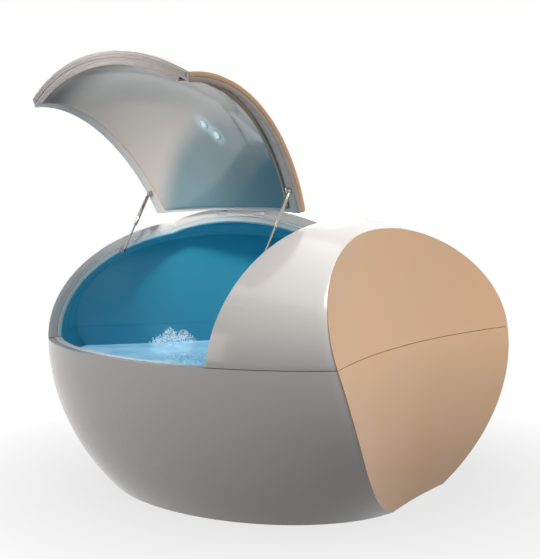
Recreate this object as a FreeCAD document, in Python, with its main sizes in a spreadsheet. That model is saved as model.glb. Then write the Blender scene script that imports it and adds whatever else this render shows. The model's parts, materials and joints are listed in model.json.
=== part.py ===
import FreeCAD, Part
import math
import os

from FreeCAD import Placement, Rotation, Vector

# Flotation tank, in millimetres. X runs across the tank, +X being the side with the light
# button. Y runs from the lid end (-Y) to the tail (+Y). Z is up, with the floor at Z = 0.
# The origin is on the floor at the middle of the tank's length and width.
# The tank is drawn with its lid open, which is the zero of the lid hinge.

SIZES = {
    # Body: two half eggs that share one widest cross section and one horizontal seam
    "body_front": 966.0,            # widest section to the lid end
    "body_rear": 1434.0,            # widest section to the tail
    "body_half_width": 1190.0,      # the egg before its flanks are scooped
    "seam_height": 719.0,
    "crown_rise": 637.0,            # seam to the crown
    "belly_drop": 1000.0,           # seam to the bottom of the egg, which the floor cuts off
    # Flank scoops: each is a band swept about an upright axis beside the tail
    "waist_half_width": 562.0,      # half width between the scoops at their axis
    "scoop_axis_back": 1280.0,      # widest section to the scoop axis
    "scoop_radius": 3547.0,
    "scoop_lean": 193.0,            # how far the flank leans in over the crown rise, at seam slope
    "scoop_top_inset": 105.0,       # where the flank really stands at crown height
    "scoop_foot_outset": 52.0,      # and how far it has spread at the floor
    "side_panel_thick": 3.0,
    # Walls
    "shell_wall": 36.0,             # foam-cored outer moulding of tub and canopy
    "wall_total": 68.0,             # outer face to the cabin's inner face
    "bond_gap": 0.5,                # between curved skins
    "seat_gap": 0.3,                # under a flange that follows a skin
    "shell_lift": 10.0,             # floor to the bottom edge of the tub shell
    "base_flange": 120.0,           # reach of the flange that the tub stands on
    "base_flange_thick": 8.0,
    "seam_gasket_thick": 3.0,
    # Basin
    "basin_wall": 8.0,
    "basin_depth": 359.0,           # seam to the basin floor
    "bowl_drop": 430.0,             # seam to the bottom of the bowl, which the floor cuts off
    "rim_height": 24.0,
    # Lid and its opening, a wedge that widens to the front and to the top
    "lid_half_width": 474.0,        # opening half width at the widest section, at the seam
    "lid_flare": 0.1905,            # sideways per millimetre towards the front
    "lid_spread": 0.0786,           # sideways per millimetre upwards
    "hinge_ahead": 138.0,           # widest section to the hinge axis
    "hinge_depth": 14.0,            # crown to the hinge axis
    "hinge_slot_back": 16.0,        # hinge axis to the canopy's edge
    "hinge_slot_front": 9.0,        # hinge axis to the lid's edge
    "lid_open_angle": 77.0,
    "lid_side_gap": 5.0,
    "lid_seat_gap": 6.0,            # seam to the lid's lower edge when shut
    "lid_shell_wall": 40.0,
    "lid_wall_total": 58.0,
    "lid_gutter": 75.0,             # width of the step beside the lid lining, where the struts lie
    "lid_back_step": 30.0,
    "lid_trim_thick": 3.0,
    "opening_lip": 12.0,            # reach of the canopy lining into the opening
    "opening_lip_back": 32.0,       # and its reach past the canopy's edge at the hinge
    "opening_lip_inset": 44.0,
    "seal_gap": 3.7,
    # Hinges
    "hinge_offset": 140.0,          # centre of each hinge from the middle
    "knuckle_radius": 7.0,
    "knuckle_length": 16.0,
    "knuckle_gap": 0.5,
    "hinge_pin_radius": 3.0,
    "hinge_plate_thick": 3.0,
    "pin_play": 0.08,
    # Gas struts
    "strut_offset": 537.0,          # strut plane from the middle
    "strut_top_ahead": 256.0,       # lid pivot with the lid shut, from the widest section
    "strut_top_depth": 12.0,        # the lid's inner skin to that pivot
    "strut_foot_ahead": 440.0,
    "strut_foot_rise": 1.5,         # foot above the middle of the lip's edge
    "strut_tube_radius": 9.0,
    "strut_tube_wall": 1.5,
    "strut_tube_start": 14.0,       # lid pivot to the tube's closed end
    "strut_end_clear": 20.0,        # tube's end to the foot when shut
    "strut_rod_hold": 21.5,         # rod left in the tube when open
    "strut_rod_radius": 4.5,
    "strut_eye_radius": 9.0,
    "strut_eye_thick": 12.0,
    "strut_pin_radius": 4.0,
    "strut_boss_radius": 13.0,
    "strut_boss_length": 18.0,
    "strut_cheek_thick": 6.0,
    "strut_cheek_clear": 1.5,       # tube to cheek
    # Under-frame
    "foot_pad_radius": 30.0,
    "foot_stud_radius": 6.0,
    "foot_stud_length": 50.0,
    "sleeper_offset": 350.0,
    "sleeper_width": 80.0,
    "sleeper_height": 60.0,
    "sleeper_ahead": 510.0,
    "sleeper_back": 800.0,
    "beam_width": 60.0,
    "beam_height": 40.0,
    "beam_half_length": 520.0,
    "first_beam_ahead": 370.0,
    "beam_pitch": 490.0,
    "deck_thick": 18.0,
    "deck_half_width": 500.0,
    "deck_ahead": 450.0,
    "deck_back": 690.0,
    "foam_half_width": 400.0,
    "foam_ahead": 320.0,
    "foam_back": 300.0,
    "mat_thick": 1.6,
    "mat_half_width": 340.0,
    "mat_length": 270.0,
    # Basin fittings
    "drain_back": 420.0,
    "drain_bore": 50.0,
    "drain_depth": 60.0,
    "drain_wall": 3.0,
    "drain_cover_radius": 76.0,
    "drain_cover_thick": 8.0,
    "lamp_back": 330.0,
    "lamp_height": 520.0,
    "lamp_radius": 60.0,
    "lamp_bore": 44.0,
    "lamp_depth": 28.0,             # cabin face to the back of the lamp can
    "lamp_flange_thick": 6.0,
    "lamp_seat": 1.6,               # the flat flange stands off the rounded flank
    "nozzle_back": 700.0,
    "nozzle_height": 500.0,
    "nozzle_radius": 32.0,
    "nozzle_bore": 19.0,
    "button_back": 60.0,
    "button_height": 655.0,
    "button_radius": 19.0,
    "button_bezel_radius": 28.0,
    "button_travel": 4.0,
    "button_play": 0.4,
    # Lamps in the lid
    "lid_lamp_radius": 26.0,
    "lid_lamp_bore": 18.0,
    "lid_lamp_ring_thick": 4.0,
    # Air vent in the tail of the canopy
    "vent_height": 950.0,
    "vent_bore": 42.0,
    "vent_sleeve_wall": 3.0,
    "vent_flange_radius": 62.0,
    "vent_flange_thick": 4.0,
    # Pipe recess low in the tail
    "recess_half_width": 165.0,
    "recess_floor": 95.0,
    "recess_top": 255.0,
    "recess_back": 1030.0,          # widest section to the recess's back wall
    "recess_wall": 4.0,
    "pipe_offset": 80.0,
    "pipe_height": 175.0,
    "supply_pipe_bore": 25.0,
    "return_pipe_bore": 31.5,
    "pipe_wall": 5.0,
    "pipe_reach": 60.0,
}

doc = FreeCAD.newDocument("FlotationTank")
sheet = doc.addObject("Spreadsheet::Sheet", "sizes")
for row, (alias, value) in enumerate(SIZES.items(), start=1):
    sheet.set(f"A{row}", alias)
    sheet.set(f"B{row}", str(value))
    sheet.setAlias(f"B{row}", alias)
doc.recompute()

NODES = []                          # the objects that are pieces of the tank


def mm(alias):
    """The value of a driving dimension."""
    return float(sheet.get(alias))


def bind(thing, **expressions):
    """Tie properties to the sheet; Base_x and its like stand for the placement."""
    for key, text in expressions.items():
        thing.setExpression(key.replace("Base_", "Placement.Base."), text)
    return thing


def piece(thing, node):
    """Make an object a named piece of the tank."""
    thing.Label = node
    NODES.append(thing)
    return thing


def fuse(name, shapes):
    joined = doc.addObject("Part::MultiFuse", name)
    joined.Shapes = shapes
    joined.Refine = False
    return joined


def group(name, shapes):
    """Separate solids that share one node."""
    together = doc.addObject("Part::Compound", name)
    together.Links = shapes
    return together


def common(name, base, tool):
    shared = doc.addObject("Part::Common", name)
    shared.Base = base
    shared.Tool = tool
    return shared


def cut(name, base, tools):
    """Take each tool in turn out of the base."""
    result = base
    for number, tool in enumerate(tools):
        step = doc.addObject("Part::Cut", name if number == len(tools) - 1 else f"{name}_step_{number}")
        step.Base = result
        step.Tool = tool
        result = step
    return result


def solid(name, shape):
    """A form that no primitive gives, worked out from the sheet."""
    form = doc.addObject("Part::Feature", name)
    form.Shape = shape
    return form


def mirrored(name, source):
    """The same form on the other side of the tank."""
    other = doc.addObject("Part::Mirroring", name)
    other.Source = source
    other.Base = Vector(0, 0, 0)
    other.Normal = Vector(1, 0, 0)
    return other


def box(name, x_from, x_to, y_from, y_to, z_from, z_to):
    """A box between six faces, each given as an expression on the sheet."""
    block = doc.addObject("Part::Box", name)
    return bind(block, Length=f"({x_to}) - ({x_from})", Width=f"({y_to}) - ({y_from})",
                Height=f"({z_to}) - ({z_from})", Base_x=x_from, Base_y=y_from, Base_z=z_from)


def rod(name, radius, length, start, direction):
    """A cylinder of bound radius and length from a point along a direction."""
    bar = doc.addObject("Part::Cylinder", name)
    bind(bar, Radius=radius, Height=length)
    bar.Placement = Placement(start, Rotation(Vector(0, 0, 1), direction))
    return bar


JOIN = "(sizes.body_front - sizes.body_rear) / 2"          # Y of the widest section
SEAM = "sizes.seam_height"
CROWN = "sizes.seam_height + sizes.crown_rise"
REACH = "(sizes.body_front + sizes.body_rear)"
join_y = (mm("body_front") - mm("body_rear")) / 2
seam = mm("seam_height")
hinge_y = join_y - mm("hinge_ahead")
crown_at_hinge = seam + mm("crown_rise") * math.sqrt(1 - (mm("hinge_ahead") / mm("body_front")) ** 2)
hinge_z = crown_at_hinge - mm("hinge_depth")


# ---------------------------------------------------------------- forms that several pieces share

def egg(name, inset, upper, drop="sizes.belly_drop"):
    """Upper or lower half of the body's egg, every half axis shortened by the inset."""
    halves = []
    for end in ("front", "rear"):
        half = doc.addObject("Part::Ellipsoid", f"{name}_{end}")
        height = "sizes.crown_rise" if upper else drop
        bind(half, Radius1=f"{height} - ({inset})", Radius2=f"sizes.body_half_width - ({inset})",
             Radius3=f"sizes.body_{end} - ({inset})", Base_y=JOIN, Base_z=SEAM)
        half.Angle1 = 0 if upper else -90
        half.Angle2 = 90 if upper else 0
        half.Angle3 = 180
        if end == "front":
            half.Placement.Rotation = Rotation(Vector(0, 0, 1), 180)
        halves.append(half)
    return fuse(name, halves)


def skin_layer(name, outer_inset, inner_inset):
    """A layer of the upper egg's skin between two insets."""
    return cut(name, egg(f"{name}_outer", outer_inset, True), [egg(f"{name}_inner", inner_inset, True)])


def scoop_face_x(y, z, inset=0.0):
    """X of the +X flank at a place."""
    rise = z - seam
    if rise >= 0:
        slope = mm("scoop_lean") / mm("crown_rise")
        bow = (mm("scoop_lean") - mm("scoop_top_inset")) / mm("crown_rise") ** 2
        radius = mm("scoop_radius") + slope * rise - bow * rise ** 2
    else:
        slope = mm("scoop_lean") / mm("crown_rise")
        bow = (slope * seam - mm("scoop_foot_outset")) / seam ** 2
        radius = mm("scoop_radius") + slope * rise + bow * rise ** 2
    axis_x = mm("waist_half_width") + mm("scoop_radius")
    axis_y = join_y + mm("scoop_axis_back")
    return axis_x - math.sqrt((radius + inset) ** 2 - (y - axis_y) ** 2)


def scoop(name, inset):
    """The band that scoops the +X flank: an S-shaped upright section swept about its axis.

    The section is two parabolas that share their slope at the seam.
    """
    slope = mm("scoop_lean") / mm("crown_rise")
    radius = mm("scoop_radius") + inset
    band = mm("body_half_width") - mm("waist_half_width") + 2 * mm("wall_total")
    spare = 30.0
    top = seam + mm("crown_rise")
    upper = Part.BezierCurve()
    upper.setPoles([Vector(-radius, 0, seam),
                    Vector(-radius - mm("scoop_lean") / 2, 0, (seam + top) / 2),
                    Vector(-radius - mm("scoop_top_inset"), 0, top)])
    lower = Part.BezierCurve()
    lower.setPoles([Vector(-radius, 0, seam),
                    Vector(-radius + slope * seam / 2, 0, seam / 2),
                    Vector(-radius + mm("scoop_foot_outset"), 0, 0)])
    head = Vector(-radius - mm("scoop_top_inset"), 0, top + spare)
    foot = Vector(-radius + mm("scoop_foot_outset"), 0, -spare)
    back_top = Vector(-radius + band, 0, top + spare)
    back_foot = Vector(-radius + band, 0, -spare)
    edges = [upper.toShape(), Part.makeLine(upper.getPole(3), head), Part.makeLine(head, back_top),
             Part.makeLine(back_top, back_foot), Part.makeLine(back_foot, foot),
             Part.makeLine(foot, lower.getPole(3)), lower.toShape()]
    section = Part.Face(Part.Wire(Part.__sortEdges__(edges)))
    margin = 4.0
    behind = math.degrees(math.asin((mm("body_rear") - mm("scoop_axis_back")) / radius)) + margin
    ahead = math.degrees(math.asin((mm("body_front") + mm("scoop_axis_back")) / radius)) + margin
    section.rotate(Vector(0, 0, 0), Vector(0, 0, 1), -behind)
    band_solid = section.revolve(Vector(0, 0, 0), Vector(0, 0, 1), behind + ahead)
    axis_x = mm("waist_half_width") + mm("scoop_radius")
    band_solid.translate(Vector(axis_x, join_y + mm("scoop_axis_back"), 0))
    return solid(name, band_solid)


def form(name, inset, upper, flank=None, drop="sizes.belly_drop"):
    """Half egg with both flanks scooped; the flanks may have an inset of their own."""
    flank_inset = inset if flank is None else flank
    right = scoop(f"{name}_scoop_right", flank_inset)
    left = mirrored(f"{name}_scoop_left", right)
    text = str(inset)
    return cut(name, egg(f"{name}_egg", text, upper, drop), [right, left])


def opening_half_width(y, z):
    """Half width of the lid opening at a place."""
    return (mm("lid_half_width") - mm("lid_flare") * (y - join_y) + mm("lid_spread") * (z - seam))


def wedge(name, side, back, bottom):
    """The lid opening's wedge, narrower by side, from beyond the front to Y = back."""
    front = join_y - mm("body_front") - 60.0
    top = seam + mm("crown_rise") + 60.0
    rings = []
    for z in (bottom, top):
        ring = []
        for y, sign in ((front, -1), (front, 1), (back, 1), (back, -1)):
            ring.append(Vector(sign * (opening_half_width(y, z) - side), y, z))
        rings.append(ring)
    low, high = rings
    sides = [low[::-1], high]
    for corner in range(4):
        after = (corner + 1) % 4
        sides.append([low[corner], low[after], high[after], high[corner]])
    faces = [Part.Face(Part.makePolygon(ring + ring[:1])) for ring in sides]
    return solid(name, Part.Solid(Part.Shell(faces)))


def egg_point(x, y, inset, upper=True):
    """Height of the egg's skin above or below the seam at a place in plan."""
    length = mm("body_front") if y < join_y else mm("body_rear")
    rise = mm("crown_rise") if upper else mm("belly_drop")
    share = (x / (mm("body_half_width") - inset)) ** 2 + ((y - join_y) / (length - inset)) ** 2
    height = (rise - inset) * math.sqrt(1 - share)
    return seam + height if upper else seam - height


def wall_normal(x, y, z, upper):
    """Outward direction of the egg's skin."""
    length = mm("body_front") if y < join_y else mm("body_rear")
    rise = mm("crown_rise") if upper else mm("belly_drop")
    normal = Vector(x / mm("body_half_width") ** 2, (y - join_y) / length ** 2, (z - seam) / rise ** 2)
    return normal.normalize()


def flank_frame(y, z, inset):
    """Point and inward direction on the cabin side of the +X flank."""
    step = 1.0
    here = Vector(scoop_face_x(y, z, inset), y, z)
    along = Vector(scoop_face_x(y + step, z, inset), y + step, z) - here
    up = Vector(scoop_face_x(y, z + step, inset), y, z + step) - here
    inward = up.cross(along)
    if inward.x > 0:
        inward = inward.multiply(-1)
    return here, inward.normalize()


# ---------------------------------------------------------------- tub shell and its coloured flanks

flank_bed = mm("side_panel_thick") + mm("bond_gap")
lower_box = box("lower_zone", f"-{REACH}", REACH, f"-{REACH}", REACH, "sizes.shell_lift",
                f"{SEAM} - sizes.seam_gasket_thick")
tub_outer = common("tub_outer", form("tub_outer_form", 0, False, flank=flank_bed), lower_box)
tub_inner_form = form("tub_inner_form", mm("shell_wall"), False)
above_flange = box("above_flange", f"-{REACH}", REACH, f"-{REACH}", REACH,
                   "sizes.shell_lift + sizes.base_flange_thick", CROWN)
tub_inner = common("tub_inner", tub_inner_form, above_flange)
flange_hole = form("flange_hole", mm("base_flange"), False)

recess_cut = box("recess_cut", "-sizes.recess_half_width", "sizes.recess_half_width",
                 f"{JOIN} + sizes.recess_back", REACH, "sizes.recess_floor", "sizes.recess_top")
tub_shell = piece(cut("tub_shell", tub_outer, [tub_inner, flange_hole, recess_cut]), "tub_shell")

panel_zone = common("tub_panel_zone", form("tub_panel_form", 0, False), lower_box)
tub_panel_right = common("tub_panel_right", panel_zone, scoop("tub_panel_bed", mm("side_panel_thick")))
piece(tub_panel_right, "tub_side_panel_right")
piece(mirrored("tub_panel_left", tub_panel_right), "tub_side_panel_left")

# ---------------------------------------------------------------- basin

BASIN_FLOOR = f"{SEAM} - sizes.basin_depth"
basin_floor = seam - mm("basin_depth")
inset_cavity = mm("wall_total")
inset_basin = inset_cavity - mm("basin_wall")
below_rim = f"{SEAM} - sizes.seam_gasket_thick"
cavity = common("basin_cavity",
                form("basin_cavity_form", inset_cavity, False, drop="sizes.bowl_drop + sizes.wall_total"),
                box("cavity_zone", f"-{REACH}", REACH, f"-{REACH}", REACH, BASIN_FLOOR, CROWN))
basin_body = common("basin_body",
                    form("basin_body_form", inset_basin, False,
                         drop="sizes.bowl_drop + sizes.wall_total"),
                    box("basin_zone", f"-{REACH}", REACH, f"-{REACH}", REACH,
                        f"{BASIN_FLOOR} - sizes.basin_wall", below_rim))
basin_rim = common("basin_rim", form("basin_rim_form", mm("shell_wall") + mm("bond_gap"), False),
                   box("rim_zone", f"-{REACH}", REACH, f"-{REACH}", REACH,
                       f"{below_rim} - sizes.rim_height", below_rim))
basin_blank = fuse("basin_blank", [basin_body, basin_rim])

# Fittings are placed on the +X flank's cabin side; their partners on -X are mirror images.
flank_fittings = []                 # (name, point, inward direction)
for label, back, height in (("lamp", "lamp_back", "lamp_height"),
                            ("nozzle", "nozzle_back", "nozzle_height"),
                            ("button", "button_back", "button_height")):
    spot, inward = flank_frame(join_y + mm(back), mm(height), inset_cavity)
    flank_fittings.append((label, spot, inward))
fitting_bore = {"lamp": "sizes.lamp_bore + sizes.bond_gap", "nozzle": "sizes.nozzle_bore + sizes.pipe_wall",
                "button": "sizes.button_radius + sizes.basin_wall / 2"}
bores = []
for label, spot, inward in flank_fittings:
    start = spot - inward * 40.0
    bore = rod(f"{label}_bore_right", fitting_bore[label], "60", start, inward)
    bores += [bore, mirrored(f"{label}_bore_left", bore)]
drain_place = Vector(0, join_y + mm("drain_back"), basin_floor - 40.0)
bores.append(rod("drain_hole", "sizes.drain_bore", "60", drain_place, Vector(0, 0, 1)))
tub_basin = piece(cut("tub_basin", basin_blank, [cavity] + bores), "tub_basin")

# ---------------------------------------------------------------- seam gasket

opening_front = wedge("gasket_gap", 0.0, hinge_y, seam - 20.0)
gasket_inset = 4.0
gasket_width = 26.0
gasket_ring = cut("gasket_ring", form("gasket_outer", gasket_inset + flank_bed, False),
                  [form("gasket_inner", gasket_inset + gasket_width, False)])
gasket_zone = box("gasket_zone", f"-{REACH}", REACH, f"-{REACH}", REACH, below_rim, SEAM)
seam_gasket = cut("seam_gasket", common("gasket_band", gasket_ring, gasket_zone), [opening_front])
piece(seam_gasket, "seam_gasket")

# ---------------------------------------------------------------- canopy

canopy_edge_y = hinge_y + mm("hinge_slot_back")
opening = wedge("opening_wedge", 0.0, canopy_edge_y, seam - 20.0)
vent_y = join_y + mm("body_rear") * math.sqrt(1 - ((mm("vent_height") - seam) / mm("crown_rise")) ** 2)
vent_axis = wall_normal(0.0, vent_y, mm("vent_height"), True)
vent_point = Vector(0.0, vent_y, mm("vent_height"))
vent_hole = rod("vent_hole", "sizes.vent_bore + sizes.vent_sleeve_wall + sizes.bond_gap", "160",
                vent_point - vent_axis * 110.0, vent_axis)
canopy_shell = cut("canopy_shell", form("canopy_outer", 0, True, flank=flank_bed),
                   [form("canopy_inner", mm("shell_wall"), True), opening, vent_hole])
piece(canopy_shell, "canopy_shell")

canopy_panel_right = common("canopy_panel_right", form("canopy_panel_form", 0, True),
                            scoop("canopy_panel_bed", mm("side_panel_thick")))
piece(canopy_panel_right, "canopy_side_panel_right")
piece(mirrored("canopy_panel_left", canopy_panel_right), "canopy_side_panel_left")

liner_outer = form("liner_outer", mm("shell_wall") + mm("bond_gap"), True)
liner_inner = form("liner_inner", inset_cavity, True)
liner_body = cut("liner_body", liner_outer, [liner_inner, opening])
lip_back = canopy_edge_y - mm("opening_lip_back")
lip_wedge = wedge("lip_wedge", mm("opening_lip"), lip_back, seam - 20.0)
lip_zone = common("lip_zone", form("lip_outer", mm("opening_lip_inset"), True),
                  wedge("lip_overlap", -20.0, canopy_edge_y + 20.0, seam - 20.0))
lip = cut("lip", lip_zone, [form("lip_inner", inset_cavity, True), lip_wedge])
canopy_liner = cut("canopy_liner", fuse("liner_blank", [liner_body, lip]), [vent_hole])
piece(canopy_liner, "canopy_liner")

seal_outer = mm("opening_lip_inset") - mm("seal_gap")
seal_band = cut("seal_band", form("seal_outer_form", seal_outer, True),
                [form("seal_inner_form", mm("opening_lip_inset"), True), lip_wedge])
seal_edge = wedge("seal_edge", 2.0, canopy_edge_y - 14.0, seam)
opening_seal = common("opening_seal", seal_band, seal_edge)
piece(opening_seal, "opening_seal")

# ---------------------------------------------------------------- lid, modelled shut and then opened

lid_edge_y = hinge_y - mm("hinge_slot_front")
lid_bottom = seam + mm("lid_seat_gap")
trim = mm("lid_trim_thick")
open_turn = Rotation(Vector(1, 0, 0), -mm("lid_open_angle"))
hinge_point = Vector(0, hinge_y, hinge_z)


def opened(name, shut):
    """The lid piece swung open about the hinge axis."""
    swung = doc.addObject("Part::Compound", name)
    swung.Links = [shut]
    swung.Placement = Placement(Vector(0, 0, 0), open_turn, hinge_point)
    return swung


lid_outer = form("lid_outer", 0, True)
lid_inner = form("lid_inner", mm("lid_shell_wall"), True)
lid_wedge = wedge("lid_wedge", mm("lid_side_gap") + trim + mm("bond_gap"), lid_edge_y, lid_bottom)
lid_skin = cut("lid_skin", lid_outer, [lid_inner])
lid_shell = common("lid_shell_shut", lid_skin, lid_wedge)
trim_wedge = wedge("trim_wedge", mm("lid_side_gap"), lid_edge_y, lid_bottom)
trim_clear = wedge("trim_clear", mm("lid_side_gap") + trim, lid_edge_y + 5.0, lid_bottom - 5.0)
trims = cut("lid_trims", common("trim_blank", lid_skin, trim_wedge), [trim_clear])
right_half = box("right_half", "0", REACH, f"-{REACH}", REACH, "0", f"2 * ({CROWN})")
trim_right = common("trim_right", trims, right_half)
liner_wedge = wedge("lid_liner_wedge", mm("lid_gutter"), hinge_y - mm("lid_back_step"), lid_bottom)
lid_liner_skin = cut("lid_liner_skin", form("lid_liner_outer", mm("lid_shell_wall") + mm("bond_gap"), True),
                     [form("lid_liner_inner", mm("lid_wall_total"), True)])
lid_liner = common("lid_liner_shut", lid_liner_skin, liner_wedge)

piece(opened("lid_shell", lid_shell), "lid_shell")
piece(opened("lid_trim_right", trim_right), "lid_edge_trim_right")
piece(opened("lid_trim_left", mirrored("trim_left_shut", trim_right)), "lid_edge_trim_left")

lid_seal_inset = 8.0
lid_seal_width = 20.0
lid_seal_ahead = 300.0              # widest section to the seal's ends
lid_seal_skin = cut("lid_seal_skin", form("lid_seal_outer", lid_seal_inset, True),
                    [form("lid_seal_inner", lid_seal_inset + lid_seal_width, True)])
lid_seal_zone = box("lid_seal_zone", f"-{REACH}", REACH, f"-{REACH}", REACH,
                    f"{SEAM} + sizes.bond_gap", f"{SEAM} + sizes.lid_seat_gap")
lid_seal_band = common("lid_seal_band", lid_seal_skin, lid_seal_zone)
lid_seal = common("lid_seal_shut", lid_seal_band,
                  wedge("lid_seal_wedge", mm("lid_side_gap") + lid_seal_width, join_y - lid_seal_ahead,
                        seam - 5.0))
piece(opened("lid_seal", lid_seal), "lid_seal")

# ---------------------------------------------------------------- lamps in the lid lining

lamp_rings = []
lamp_lenses = []
lamp_holes = []
LAMP_PLACES = ((132.0, -524.0), (86.0, -581.0))             # x, y with the lid shut
lamp_ring_skin = skin_layer("lamp_ring_skin", "sizes.lid_wall_total + sizes.seat_gap",
                            "sizes.lid_wall_total + sizes.seat_gap + sizes.lid_lamp_ring_thick")
for number, (lamp_x, lamp_ahead) in enumerate(LAMP_PLACES, start=1):
    lamp_y = join_y + lamp_ahead
    skin = Vector(lamp_x, lamp_y, egg_point(lamp_x, lamp_y, mm("lid_wall_total")))
    inward = wall_normal(lamp_x, lamp_y, skin.z, True) * -1
    ring_bar = rod(f"lid_lamp_ring_bar_{number}", "sizes.lid_lamp_radius", "40", skin - inward * 20.0, inward)
    ring = common(f"lid_lamp_ring_disc_{number}", ring_bar, lamp_ring_skin)
    ring_hole = rod(f"lid_lamp_ring_hole_{number}", "sizes.lid_lamp_bore", "30", skin - inward * 10.0, inward)
    lamp_rings.append(cut(f"lid_lamp_ring_{number}", ring, [ring_hole]))
    lamp_lenses.append(rod(f"lid_lamp_lens_{number}", "sizes.lid_lamp_bore - 0.3", "11",
                           skin - inward * 8.0, inward))
    lamp_holes.append(rod(f"lid_lamp_hole_{number}", "sizes.lid_lamp_bore", "18",
                          skin - inward * 9.0, inward))
lid_liner_bored = cut("lid_liner_bored", lid_liner, lamp_holes)
piece(opened("lid_liner", lid_liner_bored), "lid_liner")
piece(opened("lid_lamp_rings", group("lid_lamp_rings_shut", lamp_rings)), "lid_lamp_rings")
piece(opened("lid_lamp_lenses", group("lid_lamp_lenses_shut", lamp_lenses)), "lid_lamp_lenses")

# ---------------------------------------------------------------- hinges
# Five knuckles on each: three on the canopy's leaf, two on the lid's, round one pin.

knuckle_pitch = mm("knuckle_length") + mm("knuckle_gap")
plate = mm("hinge_plate_thick")
barrel = mm("knuckle_radius")
knuckles = 5


def hinge(side, sign):
    centre = sign * mm("hinge_offset")
    first = centre - (knuckles * knuckle_pitch - mm("knuckle_gap")) / 2
    last = first + knuckles * knuckle_pitch - mm("knuckle_gap")
    bore = rod(f"hinge_bore_{side}", "sizes.hinge_pin_radius + sizes.pin_play", f"{last - first + 20.0}",
               Vector(first - 10.0, hinge_y, hinge_z), Vector(1, 0, 0))
    fixed = [box(f"leaf_plate_{side}", f"{first}", f"{last}",
                 f"{canopy_edge_y} - sizes.hinge_plate_thick", f"{canopy_edge_y}",
                 f"{hinge_z} - 21", f"{hinge_z} + 6")]
    moving = [box(f"flap_plate_{side}", f"{first}", f"{last}", f"{lid_edge_y}",
                  f"{lid_edge_y} + sizes.hinge_plate_thick", f"{hinge_z} - 24", f"{hinge_z} + 5")]
    for number in range(knuckles):
        start = first + number * knuckle_pitch
        knuckle = rod(f"knuckle_{side}_{number}", "sizes.knuckle_radius", "sizes.knuckle_length",
                      Vector(start, hinge_y, hinge_z), Vector(1, 0, 0))
        if number % 2:
            moving.append(knuckle)
        else:
            web = box(f"web_{side}_{number}", f"{start}", f"{start} + sizes.knuckle_length",
                      f"{hinge_y}", f"{canopy_edge_y} - 1", f"{hinge_z} - sizes.knuckle_radius",
                      f"{hinge_z} - sizes.knuckle_radius + sizes.hinge_plate_thick")
            fixed += [knuckle, web]
    gaps = []
    for number in range(0, knuckles, 2):
        start = first + number * knuckle_pitch
        gaps.append(box(f"flap_gap_{side}_{number}", f"{start} - sizes.knuckle_gap",
                        f"{start} + sizes.knuckle_length + sizes.knuckle_gap",
                        f"{hinge_y} - sizes.knuckle_radius - sizes.knuckle_gap", f"{hinge_y} + 20",
                        f"{hinge_z} - sizes.knuckle_radius - 3", f"{hinge_z} + 20"))
    piece(cut(f"hinge_leaf_{side}", fuse(f"hinge_fixed_{side}", fixed), [bore]), f"hinge_base_{side}")
    flap = cut(f"hinge_flap_bored_{side}", fuse(f"hinge_moving_{side}", moving), [bore] + gaps)
    piece(opened(f"hinge_flap_open_{side}", flap), f"hinge_flap_{side}")
    pin = rod(f"hinge_pin_{side}", "sizes.hinge_pin_radius", f"{last - first}",
              Vector(first, hinge_y, hinge_z), Vector(1, 0, 0))
    piece(pin, f"hinge_pin_{side}")


hinge("right", 1)
hinge("left", -1)

# ---------------------------------------------------------------- gas struts
# The tube turns on a pin under the lid's skin and the rod ends in a socket beside its boss on
# the canopy's lip. The tank is drawn with the rod out.

top_y = join_y - mm("strut_top_ahead")
top_shut = Vector(mm("strut_offset"), top_y,
                  egg_point(mm("strut_offset"), top_y, mm("lid_shell_wall")) - mm("strut_top_depth"))
foot_y = join_y - mm("strut_foot_ahead")
lip_middle = (mm("opening_lip_inset") + mm("wall_total")) / 2
lip_z = seam
for _ in range(8):                  # the lip's edge leans, so its height and width settle together
    lip_x = opening_half_width(foot_y, lip_z) - mm("opening_lip")
    lip_z = egg_point(lip_x, foot_y, lip_middle)
foot = Vector(mm("strut_offset"), foot_y, lip_z + mm("strut_foot_rise"))
top_open = hinge_point + open_turn.multVec(top_shut - Vector(0, hinge_y, hinge_z))
top_open.x = mm("strut_offset")
down = (foot - top_open).normalize()
across = Vector(1, 0, 0)
strut_open = (foot - top_open).Length
strut_shut = (foot - top_shut).Length
half_eye = mm("strut_eye_thick") / 2
tube_length = strut_shut - mm("strut_tube_start") - mm("strut_end_clear")
rod_length = strut_open - mm("strut_tube_start") - tube_length + mm("strut_rod_hold")

# tube with its eye, closed at the lid end and with a rod guide at the other
tube_start = top_open + down * mm("strut_tube_start")
tube_bar = rod("tube_bar", "sizes.strut_tube_radius", f"{tube_length}", tube_start, down)
tube_bore = rod("tube_bore", "sizes.strut_tube_radius - sizes.strut_tube_wall",
                f"{tube_length - 12}", tube_start + down * 6.0, down)
guide_bore = rod("guide_bore", "sizes.strut_rod_radius + 0.2", "30",
                 tube_start + down * (tube_length - 15.0), down)
eye_disc = rod("eye_disc", "sizes.strut_eye_radius", "sizes.strut_eye_thick",
               top_open - across * half_eye, across)
eye_neck = rod("eye_neck", "sizes.strut_eye_radius / 2 + 1", "sizes.strut_tube_start", top_open, down)
eye_bore = rod("eye_bore", "sizes.strut_pin_radius + sizes.pin_play", "sizes.strut_eye_thick + 20",
               top_open - across * (half_eye + 10), across)
tube_right = cut("strut_tube_right", fuse("tube_blank", [tube_bar, eye_disc, eye_neck]),
                 [tube_bore, guide_bore, eye_bore])
piece(tube_right, "strut_tube_right")
piece(mirrored("strut_tube_left", tube_right), "strut_tube_left")

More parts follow.
